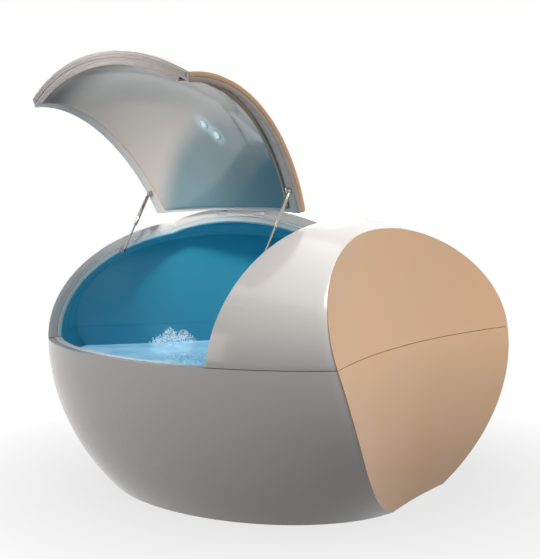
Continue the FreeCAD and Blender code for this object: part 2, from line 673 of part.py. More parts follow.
# rod with its piston and its socket
rod_start = foot - down * rod_length
piston = rod("piston", "sizes.strut_tube_radius - sizes.strut_tube_wall - 0.3", "8", rod_start, down)
rod_bar = rod("rod_bar", "sizes.strut_rod_radius", f"{rod_length - 6}", rod_start + down * 2.0, down)
collar = rod("rod_collar", "sizes.strut_rod_radius + 2.5", "9", foot - down * 16.0, down)
socket_gap = 0.4                    # socket to the boss's stem
socket = rod("rod_socket", "sizes.strut_eye_radius - 0.5", "sizes.strut_eye_thick + 2",
             foot - across * (half_eye + 1), across)
rod_right = fuse("strut_rod_right", [piston, rod_bar, collar, socket])
piece(rod_right, "strut_rod_right")
piece(mirrored("strut_rod_left", rod_right), "strut_rod_left")

# lid bracket: a cheek under the lid's skin and the pin that the eye turns on
cheek_thick = mm("strut_cheek_thick")
cheek_x = mm("strut_offset") - mm("strut_tube_radius") - mm("strut_cheek_clear") - cheek_thick
cheek_half = 14.0
cheek_bar = box("cheek_bar", f"{cheek_x}", f"{cheek_x + cheek_thick}", f"{top_shut.y - cheek_half}",
                f"{top_shut.y + cheek_half}", f"{top_shut.z} - sizes.strut_eye_radius",
                f"{top_shut.z} + sizes.wall_total")
under_skin = form("under_lid_skin", mm("lid_shell_wall") + mm("bond_gap"), True)
cheek = common("cheek", cheek_bar, under_skin)
lid_pin = rod("lid_pin", "sizes.strut_pin_radius", f"{mm('strut_offset') + half_eye + 2.0 - cheek_x}",
              Vector(cheek_x, top_shut.y, top_shut.z), across)
lid_bracket = fuse("lid_bracket_shut", [cheek, lid_pin])
piece(opened("lid_bracket_right", lid_bracket), "strut_bracket_upper_right")
piece(opened("lid_bracket_left", mirrored("lid_bracket_left_shut", lid_bracket)), "strut_bracket_upper_left")

# canopy boss: seats on the edge of the lip and stops beside the socket
boss_start = foot + across * (half_eye + 1.0 + socket_gap)
boss_seat = foot + across * (lip_x - mm("strut_offset") - mm("strut_boss_length"))
boss_bar = rod("boss_bar", "sizes.strut_boss_radius", "sizes.wall_total", boss_seat, across)
boss_neck = rod("boss_neck", "sizes.strut_pin_radius", "sizes.wall_total", boss_start, across)
boss_zone = wedge("boss_zone", mm("opening_lip") + mm("bond_gap"), canopy_edge_y, seam)
boss = fuse("strut_boss_right", [common("boss_body", boss_bar, boss_zone),
                                 common("boss_stem", boss_neck, boss_zone)])
piece(boss, "strut_bracket_lower_right")
piece(mirrored("strut_boss_left", boss), "strut_bracket_lower_left")

# ---------------------------------------------------------------- under-frame

stud_top = mm("shell_lift") + mm("base_flange_thick")
beam_rows = [f"{JOIN} - sizes.first_beam_ahead + {number} * sizes.beam_pitch" for number in range(3)]
feet = []
stud_holes = []
for side in (-1, 1):
    for number, row_y in enumerate(beam_rows):
        tag = f"{number}_{'left' if side < 0 else 'right'}"
        pad = doc.addObject("Part::Cone", f"foot_pad_{tag}")
        bind(pad, Radius1="sizes.foot_pad_radius", Radius2="sizes.foot_pad_radius - 8",
             Height="sizes.shell_lift", Base_x=f"{side} * sizes.sleeper_offset", Base_y=row_y)
        stud = doc.addObject("Part::Cylinder", f"foot_stud_{tag}")
        bind(stud, Radius="sizes.foot_stud_radius", Height="sizes.foot_stud_length",
             Base_x=f"{side} * sizes.sleeper_offset", Base_y=row_y, Base_z="sizes.shell_lift - 2")
        nut = doc.addObject("Part::Prism", f"foot_nut_{tag}")
        bind(nut, Circumradius="sizes.foot_stud_radius * 1.8", Height="7.5",
             Base_x=f"{side} * sizes.sleeper_offset", Base_y=row_y, Base_z="sizes.shell_lift")
        feet.append(fuse(f"foot_{tag}", [pad, stud, nut]))
        hole = doc.addObject("Part::Cylinder", f"stud_hole_{tag}")
        bind(hole, Radius="sizes.foot_stud_radius + 0.4", Height="sizes.foot_stud_length + 2",
             Base_x=f"{side} * sizes.sleeper_offset", Base_y=row_y, Base_z="sizes.shell_lift - 2")
        stud_holes.append(hole)
piece(group("levelling_feet", feet), "levelling_feet")

SLEEPER_BASE = "sizes.shell_lift + sizes.base_flange_thick"
sleepers = []
for side in (-1, 1):
    tag = "left" if side < 0 else "right"
    bar = box(f"sleeper_bar_{tag}", f"{side} * sizes.sleeper_offset - sizes.sleeper_width / 2",
              f"{side} * sizes.sleeper_offset + sizes.sleeper_width / 2",
              f"{JOIN} - sizes.sleeper_ahead", f"{JOIN} + sizes.sleeper_back",
              SLEEPER_BASE, f"{SLEEPER_BASE} + sizes.sleeper_height")
    holes = [hole for hole in stud_holes if hole.Name.endswith(tag)]
    sleepers.append(cut(f"sleeper_{tag}", bar, holes))
piece(group("base_sleepers", sleepers), "base_sleepers")

BEAM_BASE = f"{SLEEPER_BASE} + sizes.sleeper_height"
beams = []
for number, row_y in enumerate(beam_rows):
    beams.append(box(f"beam_{number}", "-sizes.beam_half_length", "sizes.beam_half_length",
                     f"{row_y} - sizes.beam_width / 2", f"{row_y} + sizes.beam_width / 2",
                     BEAM_BASE, f"{BEAM_BASE} + sizes.beam_height"))
piece(group("cross_beams", beams), "cross_beams")

DECK_BASE = f"{BEAM_BASE} + sizes.beam_height"
deck = box("support_deck", "-sizes.deck_half_width", "sizes.deck_half_width",
           f"{JOIN} - sizes.deck_ahead", f"{JOIN} + sizes.deck_back", DECK_BASE,
           f"{DECK_BASE} + sizes.deck_thick")
piece(deck, "support_deck")
MAT_BASE = f"{BASIN_FLOOR} - sizes.basin_wall - sizes.mat_thick"
foam = box("basin_foam_block", "-sizes.foam_half_width", "sizes.foam_half_width",
           f"{JOIN} - sizes.foam_ahead", f"{JOIN} + sizes.foam_back",
           f"{DECK_BASE} + sizes.deck_thick", MAT_BASE)
piece(foam, "basin_foam_block")
mats = []
for number in range(2):
    mat_y = f"{JOIN} - sizes.foam_ahead + 20 + {number} * (sizes.mat_length + 30)"
    mats.append(box(f"heating_mat_{number}", "-sizes.mat_half_width", "sizes.mat_half_width",
                    mat_y, f"{mat_y} + sizes.mat_length", MAT_BASE, f"{MAT_BASE} + sizes.mat_thick"))
piece(group("heating_mats", mats), "heating_mats")

# ---------------------------------------------------------------- fittings in the basin

drain_top = Vector(0, join_y + mm("drain_back"), basin_floor)
up = Vector(0, 0, 1)
drain_outer = rod("drain_cup", "sizes.drain_bore - sizes.bond_gap", "sizes.drain_depth",
                  drain_top - up * mm("drain_depth"), up)
drain_nut = rod("drain_nut", "sizes.drain_bore + 16", "10", drain_top - up * (mm("basin_wall") + 10.0), up)
drain_stub = rod("drain_stub", "20", "90", drain_top - up * 38.0, Vector(0, 1, 0))
drain_void = rod("drain_void", "sizes.drain_bore - sizes.bond_gap - sizes.drain_wall", "sizes.drain_depth",
                 drain_top - up * (mm("drain_depth") - mm("drain_wall")), up)
stub_void = rod("stub_void", "16", "100", drain_top - up * 38.0, Vector(0, 1, 0))
piece(cut("drain_body", fuse("drain_blank", [drain_outer, drain_nut, drain_stub]),
          [drain_void, stub_void]), "drain_body")

cover_disc = doc.addObject("Part::Cone", "cover_disc")
bind(cover_disc, Radius1="sizes.drain_cover_radius", Radius2="sizes.drain_cover_radius - 10",
     Height="sizes.drain_cover_thick", Base_y=f"{JOIN} + sizes.drain_back", Base_z=BASIN_FLOOR)
slots = []
slot_count = 12
for number in range(slot_count):
    slot = doc.addObject("Part::Box", f"cover_slot_{number}")
    bind(slot, Length="sizes.drain_bore - 22", Width="6", Height="30")
    slot.Placement = (Placement(drain_top, Rotation(up, number * 360.0 / slot_count))
                      * Placement(Vector(16.0, -3.0, -5.0), Rotation()))
    slots.append(slot)
piece(cut("drain_cover", cover_disc, [group("cover_slots", slots)]), "drain_cover")

for label, spot, inward in flank_fittings:
    if label == "lamp":
        flange = rod("lamp_flange", "sizes.lamp_radius", "sizes.lamp_flange_thick",
                     spot + inward * mm("lamp_seat"), inward)
        hollow = rod("lamp_hollow", "sizes.lamp_bore - 4", "12", spot - inward * 2.0, inward)
        can = rod("lamp_can", "sizes.lamp_bore", "sizes.lamp_depth + sizes.lamp_flange_thick",
                  spot - inward * mm("lamp_depth"), inward)
        ring = cut("lamp_bezel_right", fuse("lamp_bezel_blank", [flange, can]), [hollow])
        piece(group("lamp_bezels", [ring, mirrored("lamp_bezel_left", ring)]), "lamp_bezels")
        lens = rod("lamp_lens_right", "sizes.lamp_bore - 4 - sizes.bond_gap", "7",
                   spot - inward * 2.0, inward)
        piece(group("lamp_lenses", [lens, mirrored("lamp_lens_left", lens)]), "lamp_lenses")
    if label == "nozzle":
        flange = rod("nozzle_flange", "sizes.nozzle_radius", "6", spot + inward * 0.6, inward)
        shank = rod("nozzle_shank", "sizes.nozzle_bore + sizes.pipe_wall - sizes.bond_gap", "34",
                    spot - inward * 30.0, inward)
        throat = rod("nozzle_throat", "sizes.nozzle_bore", "60", spot - inward * 40.0, inward)
        jet = cut("nozzle_right", fuse("nozzle_blank", [flange, shank]), [throat])
        piece(group("return_nozzles", [jet, mirrored("nozzle_left", jet)]), "return_nozzles")
    if label == "button":
        flange = rod("button_flange", "sizes.button_bezel_radius", "5", spot + inward * 0.6, inward)
        sleeve = rod("button_sleeve", "sizes.button_radius + sizes.basin_wall / 2 - sizes.bond_gap", "26",
                     spot - inward * 22.0, inward)
        well = rod("button_well", "sizes.button_radius", "40", spot - inward * 16.0, inward)
        housing = cut("button_housing_right", fuse("button_blank", [flange, sleeve]), [well])
        piece(housing, "light_button_housing")
        piece(mirrored("button_housing_left", housing), "call_button_housing")
        cap = rod("button_cap_right", "sizes.button_radius - sizes.button_play", "18",
                  spot - inward * (12.0 - mm("button_travel")), inward)
        piece(cap, "light_button")
        piece(mirrored("button_cap_left", cap), "call_button")

# ---------------------------------------------------------------- air vent in the tail

vent_start = vent_point - vent_axis * 2 * mm("wall_total")
vent_run = "3 * sizes.wall_total"
sleeve_bar = rod("sleeve_bar", "sizes.vent_bore + sizes.vent_sleeve_wall", vent_run, vent_start, vent_axis)
sleeve_bore = rod("sleeve_bore", "sizes.vent_bore", vent_run, vent_start, vent_axis)
sleeve_layer = skin_layer("sleeve_layer", "0", "sizes.wall_total")
piece(cut("vent_sleeve", common("sleeve_blank", sleeve_bar, sleeve_layer), [sleeve_bore]), "vent_sleeve")

louvre_count = 6
louvre_land = 4.0                   # flange left between the louvres and the bore's edge
louvre_bar = 3.5


def vent_grille(name, outer_inset, inner_inset):
    """A louvred flange across the vent's bore, curved to the skin that it seats on."""
    bar = rod(f"{name}_bar", "sizes.vent_flange_radius", vent_run, vent_start, vent_axis)
    flange = common(f"{name}_flange", bar, skin_layer(f"{name}_layer", outer_inset, inner_inset))
    clear_radius = mm("vent_bore") - louvre_land
    pitch = 2 * clear_radius / louvre_count
    louvres = []
    for number in range(louvre_count):
        height = (number - (louvre_count - 1) / 2) * pitch
        reach = math.sqrt(clear_radius ** 2 - (abs(height) + (pitch - louvre_bar) / 2) ** 2)
        louvre = doc.addObject("Part::Box", f"{name}_louvre_{number}")
        bind(louvre, Length=f"{2 * reach}", Width=f"{pitch - louvre_bar}", Height=vent_run)
        corner = Vector(-reach, height - (pitch - louvre_bar) / 2, 0)
        louvre.Placement = Placement(vent_start, bar.Placement.Rotation) * Placement(corner, Rotation())
        louvres.append(louvre)
    return cut(name, flange, [group(f"{name}_louvres", louvres)])


piece(vent_grille("vent_grille_outer", "-sizes.seat_gap - sizes.vent_flange_thick", "-sizes.seat_gap"),
      "vent_grille_outer")
piece(vent_grille("vent_grille_inner", "sizes.wall_total + sizes.seat_gap",
                  "sizes.wall_total + sizes.seat_gap + sizes.vent_flange_thick"), "vent_grille_inner")

# ---------------------------------------------------------------- pipe recess in the tail

RECESS_BACK = f"{JOIN} + sizes.recess_back"
tray_block = common("tray_block", box("tray_box", "-sizes.recess_half_width + 0.4",
                                      "sizes.recess_half_width - 0.4", f"{RECESS_BACK} - sizes.recess_wall",
                                      REACH, "sizes.recess_floor + 0.4", "sizes.recess_top - 0.4"),
                    form("tray_form", 0, False))
tray_void = box("tray_void", "-sizes.recess_half_width + sizes.recess_wall",
                "sizes.recess_half_width - sizes.recess_wall", RECESS_BACK, REACH,
                "sizes.recess_floor + sizes.recess_wall", "sizes.recess_top - sizes.recess_wall")
pipes = {}
pipe_holes = []
for label, sign in (("supply", -1), ("return", 1)):
    start = Vector(sign * mm("pipe_offset"), join_y + mm("recess_back") - 50.0, mm("pipe_height"))
    bore_size = f"sizes.{label}_pipe_bore"
    stub = rod(f"{label}_stub", f"{bore_size} + sizes.pipe_wall", "50 + sizes.pipe_reach",
               start, Vector(0, 1, 0))
    collar = rod(f"{label}_collar", f"{bore_size} + sizes.pipe_wall + 9", "12",
                 Vector(start.x, join_y + mm("recess_back"), start.z), Vector(0, 1, 0))
    throat = rod(f"{label}_throat", bore_size, "200", start - Vector(0, 20, 0), Vector(0, 1, 0))
    pipes[label] = cut(f"{label}_union", fuse(f"{label}_blank", [stub, collar]), [throat])
    pipe_holes.append(rod(f"{label}_hole", f"{bore_size} + sizes.pipe_wall + sizes.bond_gap", "90",
                          start, Vector(0, 1, 0)))
piece(cut("pipe_recess", tray_block, [tray_void] + pipe_holes), "pipe_recess")
piece(pipes["supply"], "supply_union")
piece(pipes["return"], "return_union")

# ---------------------------------------------------------------- build, check and write

doc.recompute()
for thing in doc.Objects:
    if "Invalid" in thing.State or "Error" in thing.State:
        raise RuntimeError(f"{thing.Label} did not build: {thing.State}")
for node in NODES:
    if node.Shape.isNull() or not node.Shape.isValid() or not node.Shape.Solids:
        raise RuntimeError(f"{node.Label} has no valid solid")
os.makedirs("parts", exist_ok=True)
for node in NODES:
    node.Shape.exportStep(f"parts/{node.Label}.step")
for name, point in (("hinge", hinge_point), ("strut top", top_open), ("strut foot", foot),
                    ("strut direction", down)):
    print(f"{name}: {point.x:.5f} {point.y:.5f} {point.z:.5f}")
print(f"strut length: open {strut_open:.4f}, shut {strut_shut:.4f}")
for label, spot, inward in flank_fittings:
    print(f"{label}: at {spot.x:.2f} {spot.y:.2f} {spot.z:.2f}")
    print(f"{label} faces {inward.x:.5f} {inward.y:.5f} {inward.z:.5f}")
print(f"{len(NODES)} pieces written")
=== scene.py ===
import json
import math

import bmesh
import bpy
import numpy as np
from mathutils import Matrix, Vector


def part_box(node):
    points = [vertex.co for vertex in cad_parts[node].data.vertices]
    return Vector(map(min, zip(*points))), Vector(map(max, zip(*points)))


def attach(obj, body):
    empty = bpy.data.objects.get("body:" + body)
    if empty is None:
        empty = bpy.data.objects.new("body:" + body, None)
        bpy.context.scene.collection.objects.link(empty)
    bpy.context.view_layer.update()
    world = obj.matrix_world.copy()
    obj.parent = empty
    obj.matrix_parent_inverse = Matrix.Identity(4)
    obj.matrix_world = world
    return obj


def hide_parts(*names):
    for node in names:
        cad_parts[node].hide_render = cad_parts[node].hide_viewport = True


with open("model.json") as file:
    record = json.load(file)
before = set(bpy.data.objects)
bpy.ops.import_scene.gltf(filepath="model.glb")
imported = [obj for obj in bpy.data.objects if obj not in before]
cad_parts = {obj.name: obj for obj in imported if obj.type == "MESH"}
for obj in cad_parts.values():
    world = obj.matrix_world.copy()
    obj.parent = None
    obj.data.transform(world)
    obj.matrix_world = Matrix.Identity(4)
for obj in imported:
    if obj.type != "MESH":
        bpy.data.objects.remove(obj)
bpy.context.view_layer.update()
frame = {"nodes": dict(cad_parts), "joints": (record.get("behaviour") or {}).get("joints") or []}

# ------------------------------------------------------------------ tub shell
# The lower half of the egg: one thick white moulding with a gelcoat face, foam cored, laid up in
# a mould and trimmed at the seam. Its flanks are beds that the coloured panels are bonded to.

BODY_FRONT = 0.966                  # widest section to the lid end
BODY_REAR = 1.434                   # widest section to the tail
BODY_HALF_WIDTH = 1.190
JOIN_Y = (BODY_FRONT - BODY_REAR) / 2
SEAM_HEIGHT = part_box("canopy_shell")[0].z
BODY_CENTRE = Vector((0, JOIN_Y, SEAM_HEIGHT))
CROWN_RISE = 0.637
BELLY_DROP = 1.000
SCOOP_WAIST = 0.562                 # half width between the scoops at their axis
SCOOP_AXIS_BACK = 1.280
SCOOP_RADIUS = 3.547
SCOOP_LEAN = 0.193
SCOOP_TOP_INSET = 0.105
SCOOP_FOOT_OUTSET = 0.052
SCOOP_SLOPE = SCOOP_LEAN / CROWN_RISE
PANEL_BED = 0.0035                  # how far the flanks lie behind their panels' faces
SHELL_WALL = 0.034
EDGE_ROUND = 0.003
LEAST_LEAN = 0.5                    # a wall is drawn out to twice its thickness at most
WELD = 0.00002                      # points as close as this are one
SMOOTH_TURN = math.radians(32)      # edges that turn more than this stay sharp
TUB_ROWS = 44
SKIN_COLUMNS = (56, 44, 40)         # on the front skin, the flank and the rear skin
HALVINGS = 40                       # steps in closing in on a root
HALF_TURN = np.linspace(-math.pi / 2, math.pi / 2, 1441)        # from the nose to the tail
UP = Vector((0, 0, 1))


def egg_reach(angle, rise, inset, drop=BELLY_DROP):
    """Distance from the upright axis at the widest section to the egg's skin."""
    length = np.where(np.sin(angle) < 0, BODY_FRONT, BODY_REAR) - inset
    height = np.where(rise < 0, drop - inset, CROWN_RISE - inset)
    share = np.clip(1 - (rise / height) ** 2, 0, 1)
    return np.sqrt(share) / np.hypot(np.cos(angle) / (BODY_HALF_WIDTH - inset), np.sin(angle) / length)


def flank_radius(rise, inset):
    """The scoop's radius at a height above the seam."""
    bow_above = -(SCOOP_LEAN - SCOOP_TOP_INSET) / CROWN_RISE ** 2
    bow_below = (SCOOP_SLOPE * SEAM_HEIGHT - SCOOP_FOOT_OUTSET) / SEAM_HEIGHT ** 2
    bow = np.where(rise < 0, bow_below, bow_above)
    return SCOOP_RADIUS + SCOOP_SLOPE * rise + bow * rise ** 2 + inset


def flank_reach(angle, rise, inset):
    """Distance from that axis to the scooped flank."""
    axis_x = SCOOP_WAIST + SCOOP_RADIUS
    along = axis_x * np.cos(angle) + SCOOP_AXIS_BACK * np.sin(angle)
    inside = along ** 2 - (axis_x ** 2 + SCOOP_AXIS_BACK ** 2 - flank_radius(rise, inset) ** 2)
    return np.where(inside > 0, along - np.sqrt(np.abs(inside)), np.inf)


def root(function, low, high):
    """Where a function changes sign between low and high."""
    low_sign = function(low) > 0
    for _ in range(HALVINGS):
        middle = (low + high) / 2
        if (function(middle) > 0) == low_sign:
            low = middle
        else:
            high = middle
    return (low + high) / 2


def creases(rises, inset, drop=BELLY_DROP):
    """Angles at which the flank's front and rear creases stand, row by row."""
    front, rear = [], []
    for rise in rises:
        def depth(angle):
            return flank_reach(angle, rise, inset) - egg_reach(angle, rise, inset, drop)
        depths = depth(HALF_TURN)
        cut = np.flatnonzero(depths < 0)
        if len(cut):
            front.append(root(depth, HALF_TURN[cut[0] - 1], HALF_TURN[cut[0]]))
            rear.append(root(depth, HALF_TURN[cut[-1]], HALF_TURN[cut[-1] + 1]))
        else:
            front.append(HALF_TURN[np.argmin(depths)])
            rear.append(front[-1])
    return np.array(front), np.array(rear)


def place(angle, rises, reach):
    """Points at those angles and distances."""
    high = np.broadcast_to(np.asarray(rises)[:, None], angle.shape)
    return np.stack([reach * np.cos(angle), JOIN_Y + reach * np.sin(angle), SEAM_HEIGHT + high], axis=-1)


def spread(first, last, count):
    """Evenly spaced angles from first to last in every row."""
    return first[:, None] + (last - first)[:, None] * np.linspace(0, 1, count)


def body_rows(rises, inset, bed=None, drop=BELLY_DROP):
    """Closed rows of points round the body, whose flank has an inset of its own if bed is given."""
    bed = inset if bed is None else bed
    front, rear = creases(rises, bed, drop)
    rows = np.asarray(rises)[:, None]
    nose = np.full(len(rises), -math.pi / 2)
    parts = []
    for first, last, count in zip((nose, front, rear), (front, rear, -nose), SKIN_COLUMNS):
        angle = spread(first, last, count)
        reach = np.minimum(egg_reach(angle, rows, inset, drop), flank_reach(angle, rows, bed))
        parts.append(place(angle, rises, reach))
    half = np.concatenate([parts[0][:, :-1], parts[1][:, :-1], parts[2]], axis=1)
    other = half[:, -2:0:-1].copy()
    other[..., 0] *= -1
    return np.concatenate([half, other], axis=1)


def sheet(points, closed):
    """A sheet of quads over rows of points, welded where rows or columns meet."""
    rows, columns = points.shape[:2]
    faces = []
    for row in range(rows - 1):
        for column in range(columns if closed else columns - 1):
            beside = (column + 1) % columns
            faces.append((row * columns + column, row * columns + beside,
                          (row + 1) * columns + beside, (row + 1) * columns + column))
    mesh = bpy.data.meshes.new("sheet")
    mesh.from_pydata(points.reshape(-1, 3).tolist(), [], faces)
    bm = bmesh.new()
    bm.from_mesh(mesh)
    bpy.data.meshes.remove(mesh)
    bmesh.ops.remove_doubles(bm, verts=bm.verts, dist=WELD)
    bmesh.ops.dissolve_degenerate(bm, edges=bm.edges, dist=WELD)
    return bm


def hoop(rises, outer, inner):
    """A closed band round the body between two heights and two skins, each an inset and its bed."""
    front, rear = body_rows(rises, *outer), body_rows(rises, *inner)
    bm = sheet(np.stack([front[0], front[1], rear[1], rear[0], front[0]]), True)
    bmesh.ops.recalc_face_normals(bm, faces=bm.faces)
    return bm


def turn_over(bm):
    """Turn a sheet's faces the other way."""
    bmesh.ops.reverse_faces(bm, faces=bm.faces)
    bm.normal_update()


def face_outwards(bm):
    """Turn a sheet so that its faces look away from the body's centre."""
    bm.normal_update()
    if sum(face.normal.dot(face.calc_center_median() - BODY_CENTRE) for face in bm.faces) < 0:
        turn_over(bm)


def wall_step(place, normal, planes):
    """Direction from a place to the wall's far side, kept in the planes that the place lies on."""
    held = [plane for point, plane in planes if abs((place - point).dot(plane)) < WELD]
    if not held:
        return normal.copy()
    if len(held) == 1:
        step = normal - held[0] * normal.dot(held[0])
    else:
        step = held[0].cross(held[1])
    step.normalize()
    lean = step.dot(normal)
    return step / math.copysign(max(abs(lean), LEAST_LEAN), lean)


def egg_facing(x, ahead, rise):
    """The way that the egg's front skin faces at a point measured from the body's centre."""
    return Vector((x / BODY_HALF_WIDTH ** 2, ahead / BODY_FRONT ** 2, rise / CROWN_RISE ** 2)).normalized()


def far_skin(start, step, depth, inset):
    """How far along a step the egg's front skin at another inset lies."""
    axes = (BODY_HALF_WIDTH - inset, BODY_FRONT - inset, CROWN_RISE - inset)
    spot = Vector(part / axis for part, axis in zip(start - BODY_CENTRE, axes))
    heading = Vector(-part / axis for part, axis in zip(step, axes))
    square, half, rest = heading.dot(heading), spot.dot(heading), spot.dot(spot) - 1
    apart = math.sqrt(max(half * half - square * rest, 0))
    return min(((-half - apart) / square, (-half + apart) / square), key=lambda reach: abs(reach - depth))


def thicken(bm, depth, planes=(), skin=None):
    """Give a sheet its wall, behind it; the edges stay in the planes that they were cut by.

    With a skin, the wall's far side is the egg's skin at that inset, and otherwise it is parallel."""
    edges = [edge for edge in bm.edges if edge.is_boundary]
    rim = {vert for edge in edges for vert in edge.verts}
    outwards = {vert: egg_facing(*(vert.co - BODY_CENTRE)) for vert in bm.verts}
    side = math.copysign(1.0, sum(vert.normal.dot(way) for vert, way in outwards.items()))
    spots = {}
    for vert, way in outwards.items():
        normal = vert.normal if skin is None else way * side
        step = wall_step(vert.co, normal, planes if vert in rim else ())
        reach = depth if skin is None else far_skin(vert.co, step, depth, skin)
        spots[vert] = vert.co - step * reach
    behind = {vert: bm.verts.new(spot) for vert, spot in spots.items()}
    for face in list(bm.faces):
        bm.faces.new([behind[vert] for vert in reversed(face.verts)])
    for edge in edges:
        loop = edge.link_loops[0]
        start, end = loop.vert, loop.link_loop_next.vert
        bm.faces.new((end, start, behind[start], behind[end]))
    bm.normal_update()


def round_edges(bm, width, sharp=math.radians(50), segments=3):
    """Round the edges that turn more than sharp."""
    edges = [edge for edge in bm.edges if len(edge.link_faces) == 2 and edge.calc_face_angle() > sharp]
    bmesh.ops.bevel(bm, geom=edges, offset=width, segments=segments, profile=0.5, affect="EDGES",
                    clamp_overlap=True)


def joined(*meshes):
    """Several meshes as one."""
    whole = bmesh.new()
    for bm in meshes:
        held = bpy.data.meshes.new("held")
        bm.to_mesh(held)
        bm.free()
        whole.from_mesh(held)
        bpy.data.meshes.remove(held)
    return whole


def block(low, high):
    """A plain block between two corners, for cutting with."""
    bm = bmesh.new()
    bmesh.ops.create_cube(bm, size=1.0)
    for vert in bm.verts:
        vert.co = Vector(high[axis] if vert.co[axis] > 0 else low[axis] for axis in range(3))
    return bm


def add_object(name, data):
    """A new object in the scene."""
    thing = bpy.data.objects.new(name, data)
    bpy.context.scene.collection.objects.link(thing)
    return thing


def as_object(bm, name):
    """A mesh as an object in the scene."""
    mesh = bpy.data.meshes.new(name)
    bm.to_mesh(mesh)
    bm.free()
    return add_object(name, mesh)


def bored(bm, *cutters):
    """The mesh with the cutters taken out of it."""
    holders = [as_object(shape, "held") for shape in (bm, *cutters)]
    for cutter in holders[1:]:
        bore = holders[0].modifiers.new("bore", "BOOLEAN")
        bore.operation = "DIFFERENCE"
        bore.solver = "EXACT"
        bore.object = cutter
    result = bmesh.new()
    result.from_object(holders[0], bpy.context.evaluated_depsgraph_get())
    for holder in holders:
        bpy.data.objects.remove(holder)
    return result


def make_piece(bm, name, finish, body, slot, *nodes):
    """Turn a mesh into a piece of the tank that rides on a body and stands for CAD nodes."""
    bm.normal_update()
    for face in bm.faces:
        face.smooth = True
    for edge in bm.edges:
        edge.smooth = len(edge.link_faces) == 2 and edge.calc_face_angle() < SMOOTH_TURN
    piece = as_object(bm, name)
    piece.data.materials.append(finish)
    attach(piece, body)
    if nodes:
        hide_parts(*nodes)


def new_finish(name):
    """An empty material, its nodes tree and its shader."""
    material = bpy.data.materials.new(name)
    material.use_nodes = True
    return material, material.node_tree, material.node_tree.nodes["Principled BSDF"]


def feed(node, inputs):
    """Feed a node's inputs, each with a value or with another node's output."""
    for socket, given in inputs.items():
        if isinstance(given, bpy.types.NodeSocket):
            node.id_data.links.new(given, node.inputs[socket])
        else:
            node.inputs[socket].default_value = given


def add_node(tree, kind, output, inputs, **settings):
    """Add a node with its settings, feed its inputs and hand back one of its outputs."""
    node = tree.nodes.new(kind)
    for setting, value in settings.items():
        setattr(node, setting, value)
    feed(node, inputs)
    return node.outputs[output]


def own_place(tree):
    """The object's own coordinates."""
    return add_node(tree, "ShaderNodeTexCoord", "Object", {})


def noise(tree, scale, detail, stretch=(1.0, 1.0, 1.0)):
    """A noise over the object's own coordinates."""
    spot = add_node(tree, "ShaderNodeMapping", "Vector", {"Vector": own_place(tree), "Scale": stretch})
    return add_node(tree, "ShaderNodeTexNoise", "Fac", {"Vector": spot, "Scale": scale, "Detail": detail})


def ramp(tree, source, low, high, start=0.35, end=0.65):
    """A colour or grey that runs from low to high with its source."""
    colour = add_node(tree, "ShaderNodeValToRGB", "Color", {"Fac": source})
    for stop, position, shade in zip(colour.node.color_ramp.elements, (start, end), (low, high)):
        stop.position = position
        stop.color = (*shade, 1)
    return colour


def cloud(tree, low, high, scale, detail):
    """A colour that wanders between two shades."""
    return ramp(tree, noise(tree, scale, detail), low, high)


def uneven(tree, level, most, scale, detail):
    """A number that wanders between a level and most times that level."""
    return cloud(tree, (level,) * 3, (level * most,) * 3, scale, detail)


def bump(tree, source, depth, under=None):
    """A bump of that depth in metres, over another bump if one is given."""
    inputs = {"Strength": 1.0, "Distance": depth, "Height": source}
    if under is not None:
        inputs["Normal"] = under
    return add_node(tree, "ShaderNodeBump", "Normal", inputs)


def grain(tree, depth, scale, detail=2.0, stretch=(1.0, 1.0, 1.0), under=None):
    """A bump that follows a noise."""
    return bump(tree, noise(tree, scale, detail, stretch), depth, under)


def gelcoat(name, colour, shade, roughness, coat, ripple=0.0006):
    """Moulded and polished gelcoat: faint cloudiness, orange peel and a slow ripple of the mould."""
    material, tree, shader = new_finish(name)
    slow = grain(tree, ripple, scale=2.2, detail=0.0)
    feed(shader, {"Base Color": cloud(tree, shade, colour, scale=1.1, detail=1.5),
                  "Roughness": uneven(tree, roughness, most=1.4, scale=2.3, detail=2.0),
                  "Normal": grain(tree, depth=0.00002, scale=260.0, under=slow),
                  "Coat Weight": coat, "Coat Roughness": 0.06})
    return material


def level(rise):
    """The level plane at a height above the seam."""
    return Vector((0, 0, SEAM_HEIGHT + rise)), UP


white_gelcoat = gelcoat("white_gelcoat", colour=(0.80, 0.785, 0.77), shade=(0.735, 0.71, 0.69),
                        roughness=0.20, coat=0.45)

tub_foot, tub_top = (corner.z - SEAM_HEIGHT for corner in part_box("tub_shell"))
tub_turns = np.linspace(math.asin(-tub_top / BELLY_DROP), math.asin(-tub_foot / BELLY_DROP), TUB_ROWS)
tub_rises = -BELLY_DROP * np.sin(tub_turns)
tub = sheet(body_rows(tub_rises, 0.0, PANEL_BED), True)
face_outwards(tub)
thicken(tub, SHELL_WALL, [level(tub_top), level(tub_foot)])

# The foot turns in to a flange that the tub stands on.
FLANGE_REACH = 0.120
FLANGE_THICK = 0.008
FLANGE_LAP = 0.001
flange_rises = np.array([tub_foot, tub_foot + FLANGE_THICK])
tub = joined(tub, hoop(flange_rises, (SHELL_WALL - FLANGE_LAP,), (FLANGE_REACH,)))

RECESS_PLAY = 0.0004
RECESS_THROUGH = 0.2                # how far behind the recess its opening is cut
recess_low, recess_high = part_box("pipe_recess")
recess_cut = block(recess_low - Vector((RECESS_PLAY,) * 3),
                   recess_high + Vector((RECESS_PLAY, RECESS_THROUGH, RECESS_PLAY)))
make_piece(bored(tub, recess_cut), "tub_moulding", white_gelcoat, "tank", "white_shell", "tub_shell")

# ------------------------------------------------------------------ tub side panels
# Thin coloured skins, thermoformed in gloss acrylic and bonded to the scooped flanks of the tub.
# Their long edges are trimmed flush with the egg's skin, which leaves a crisp coloured corner.

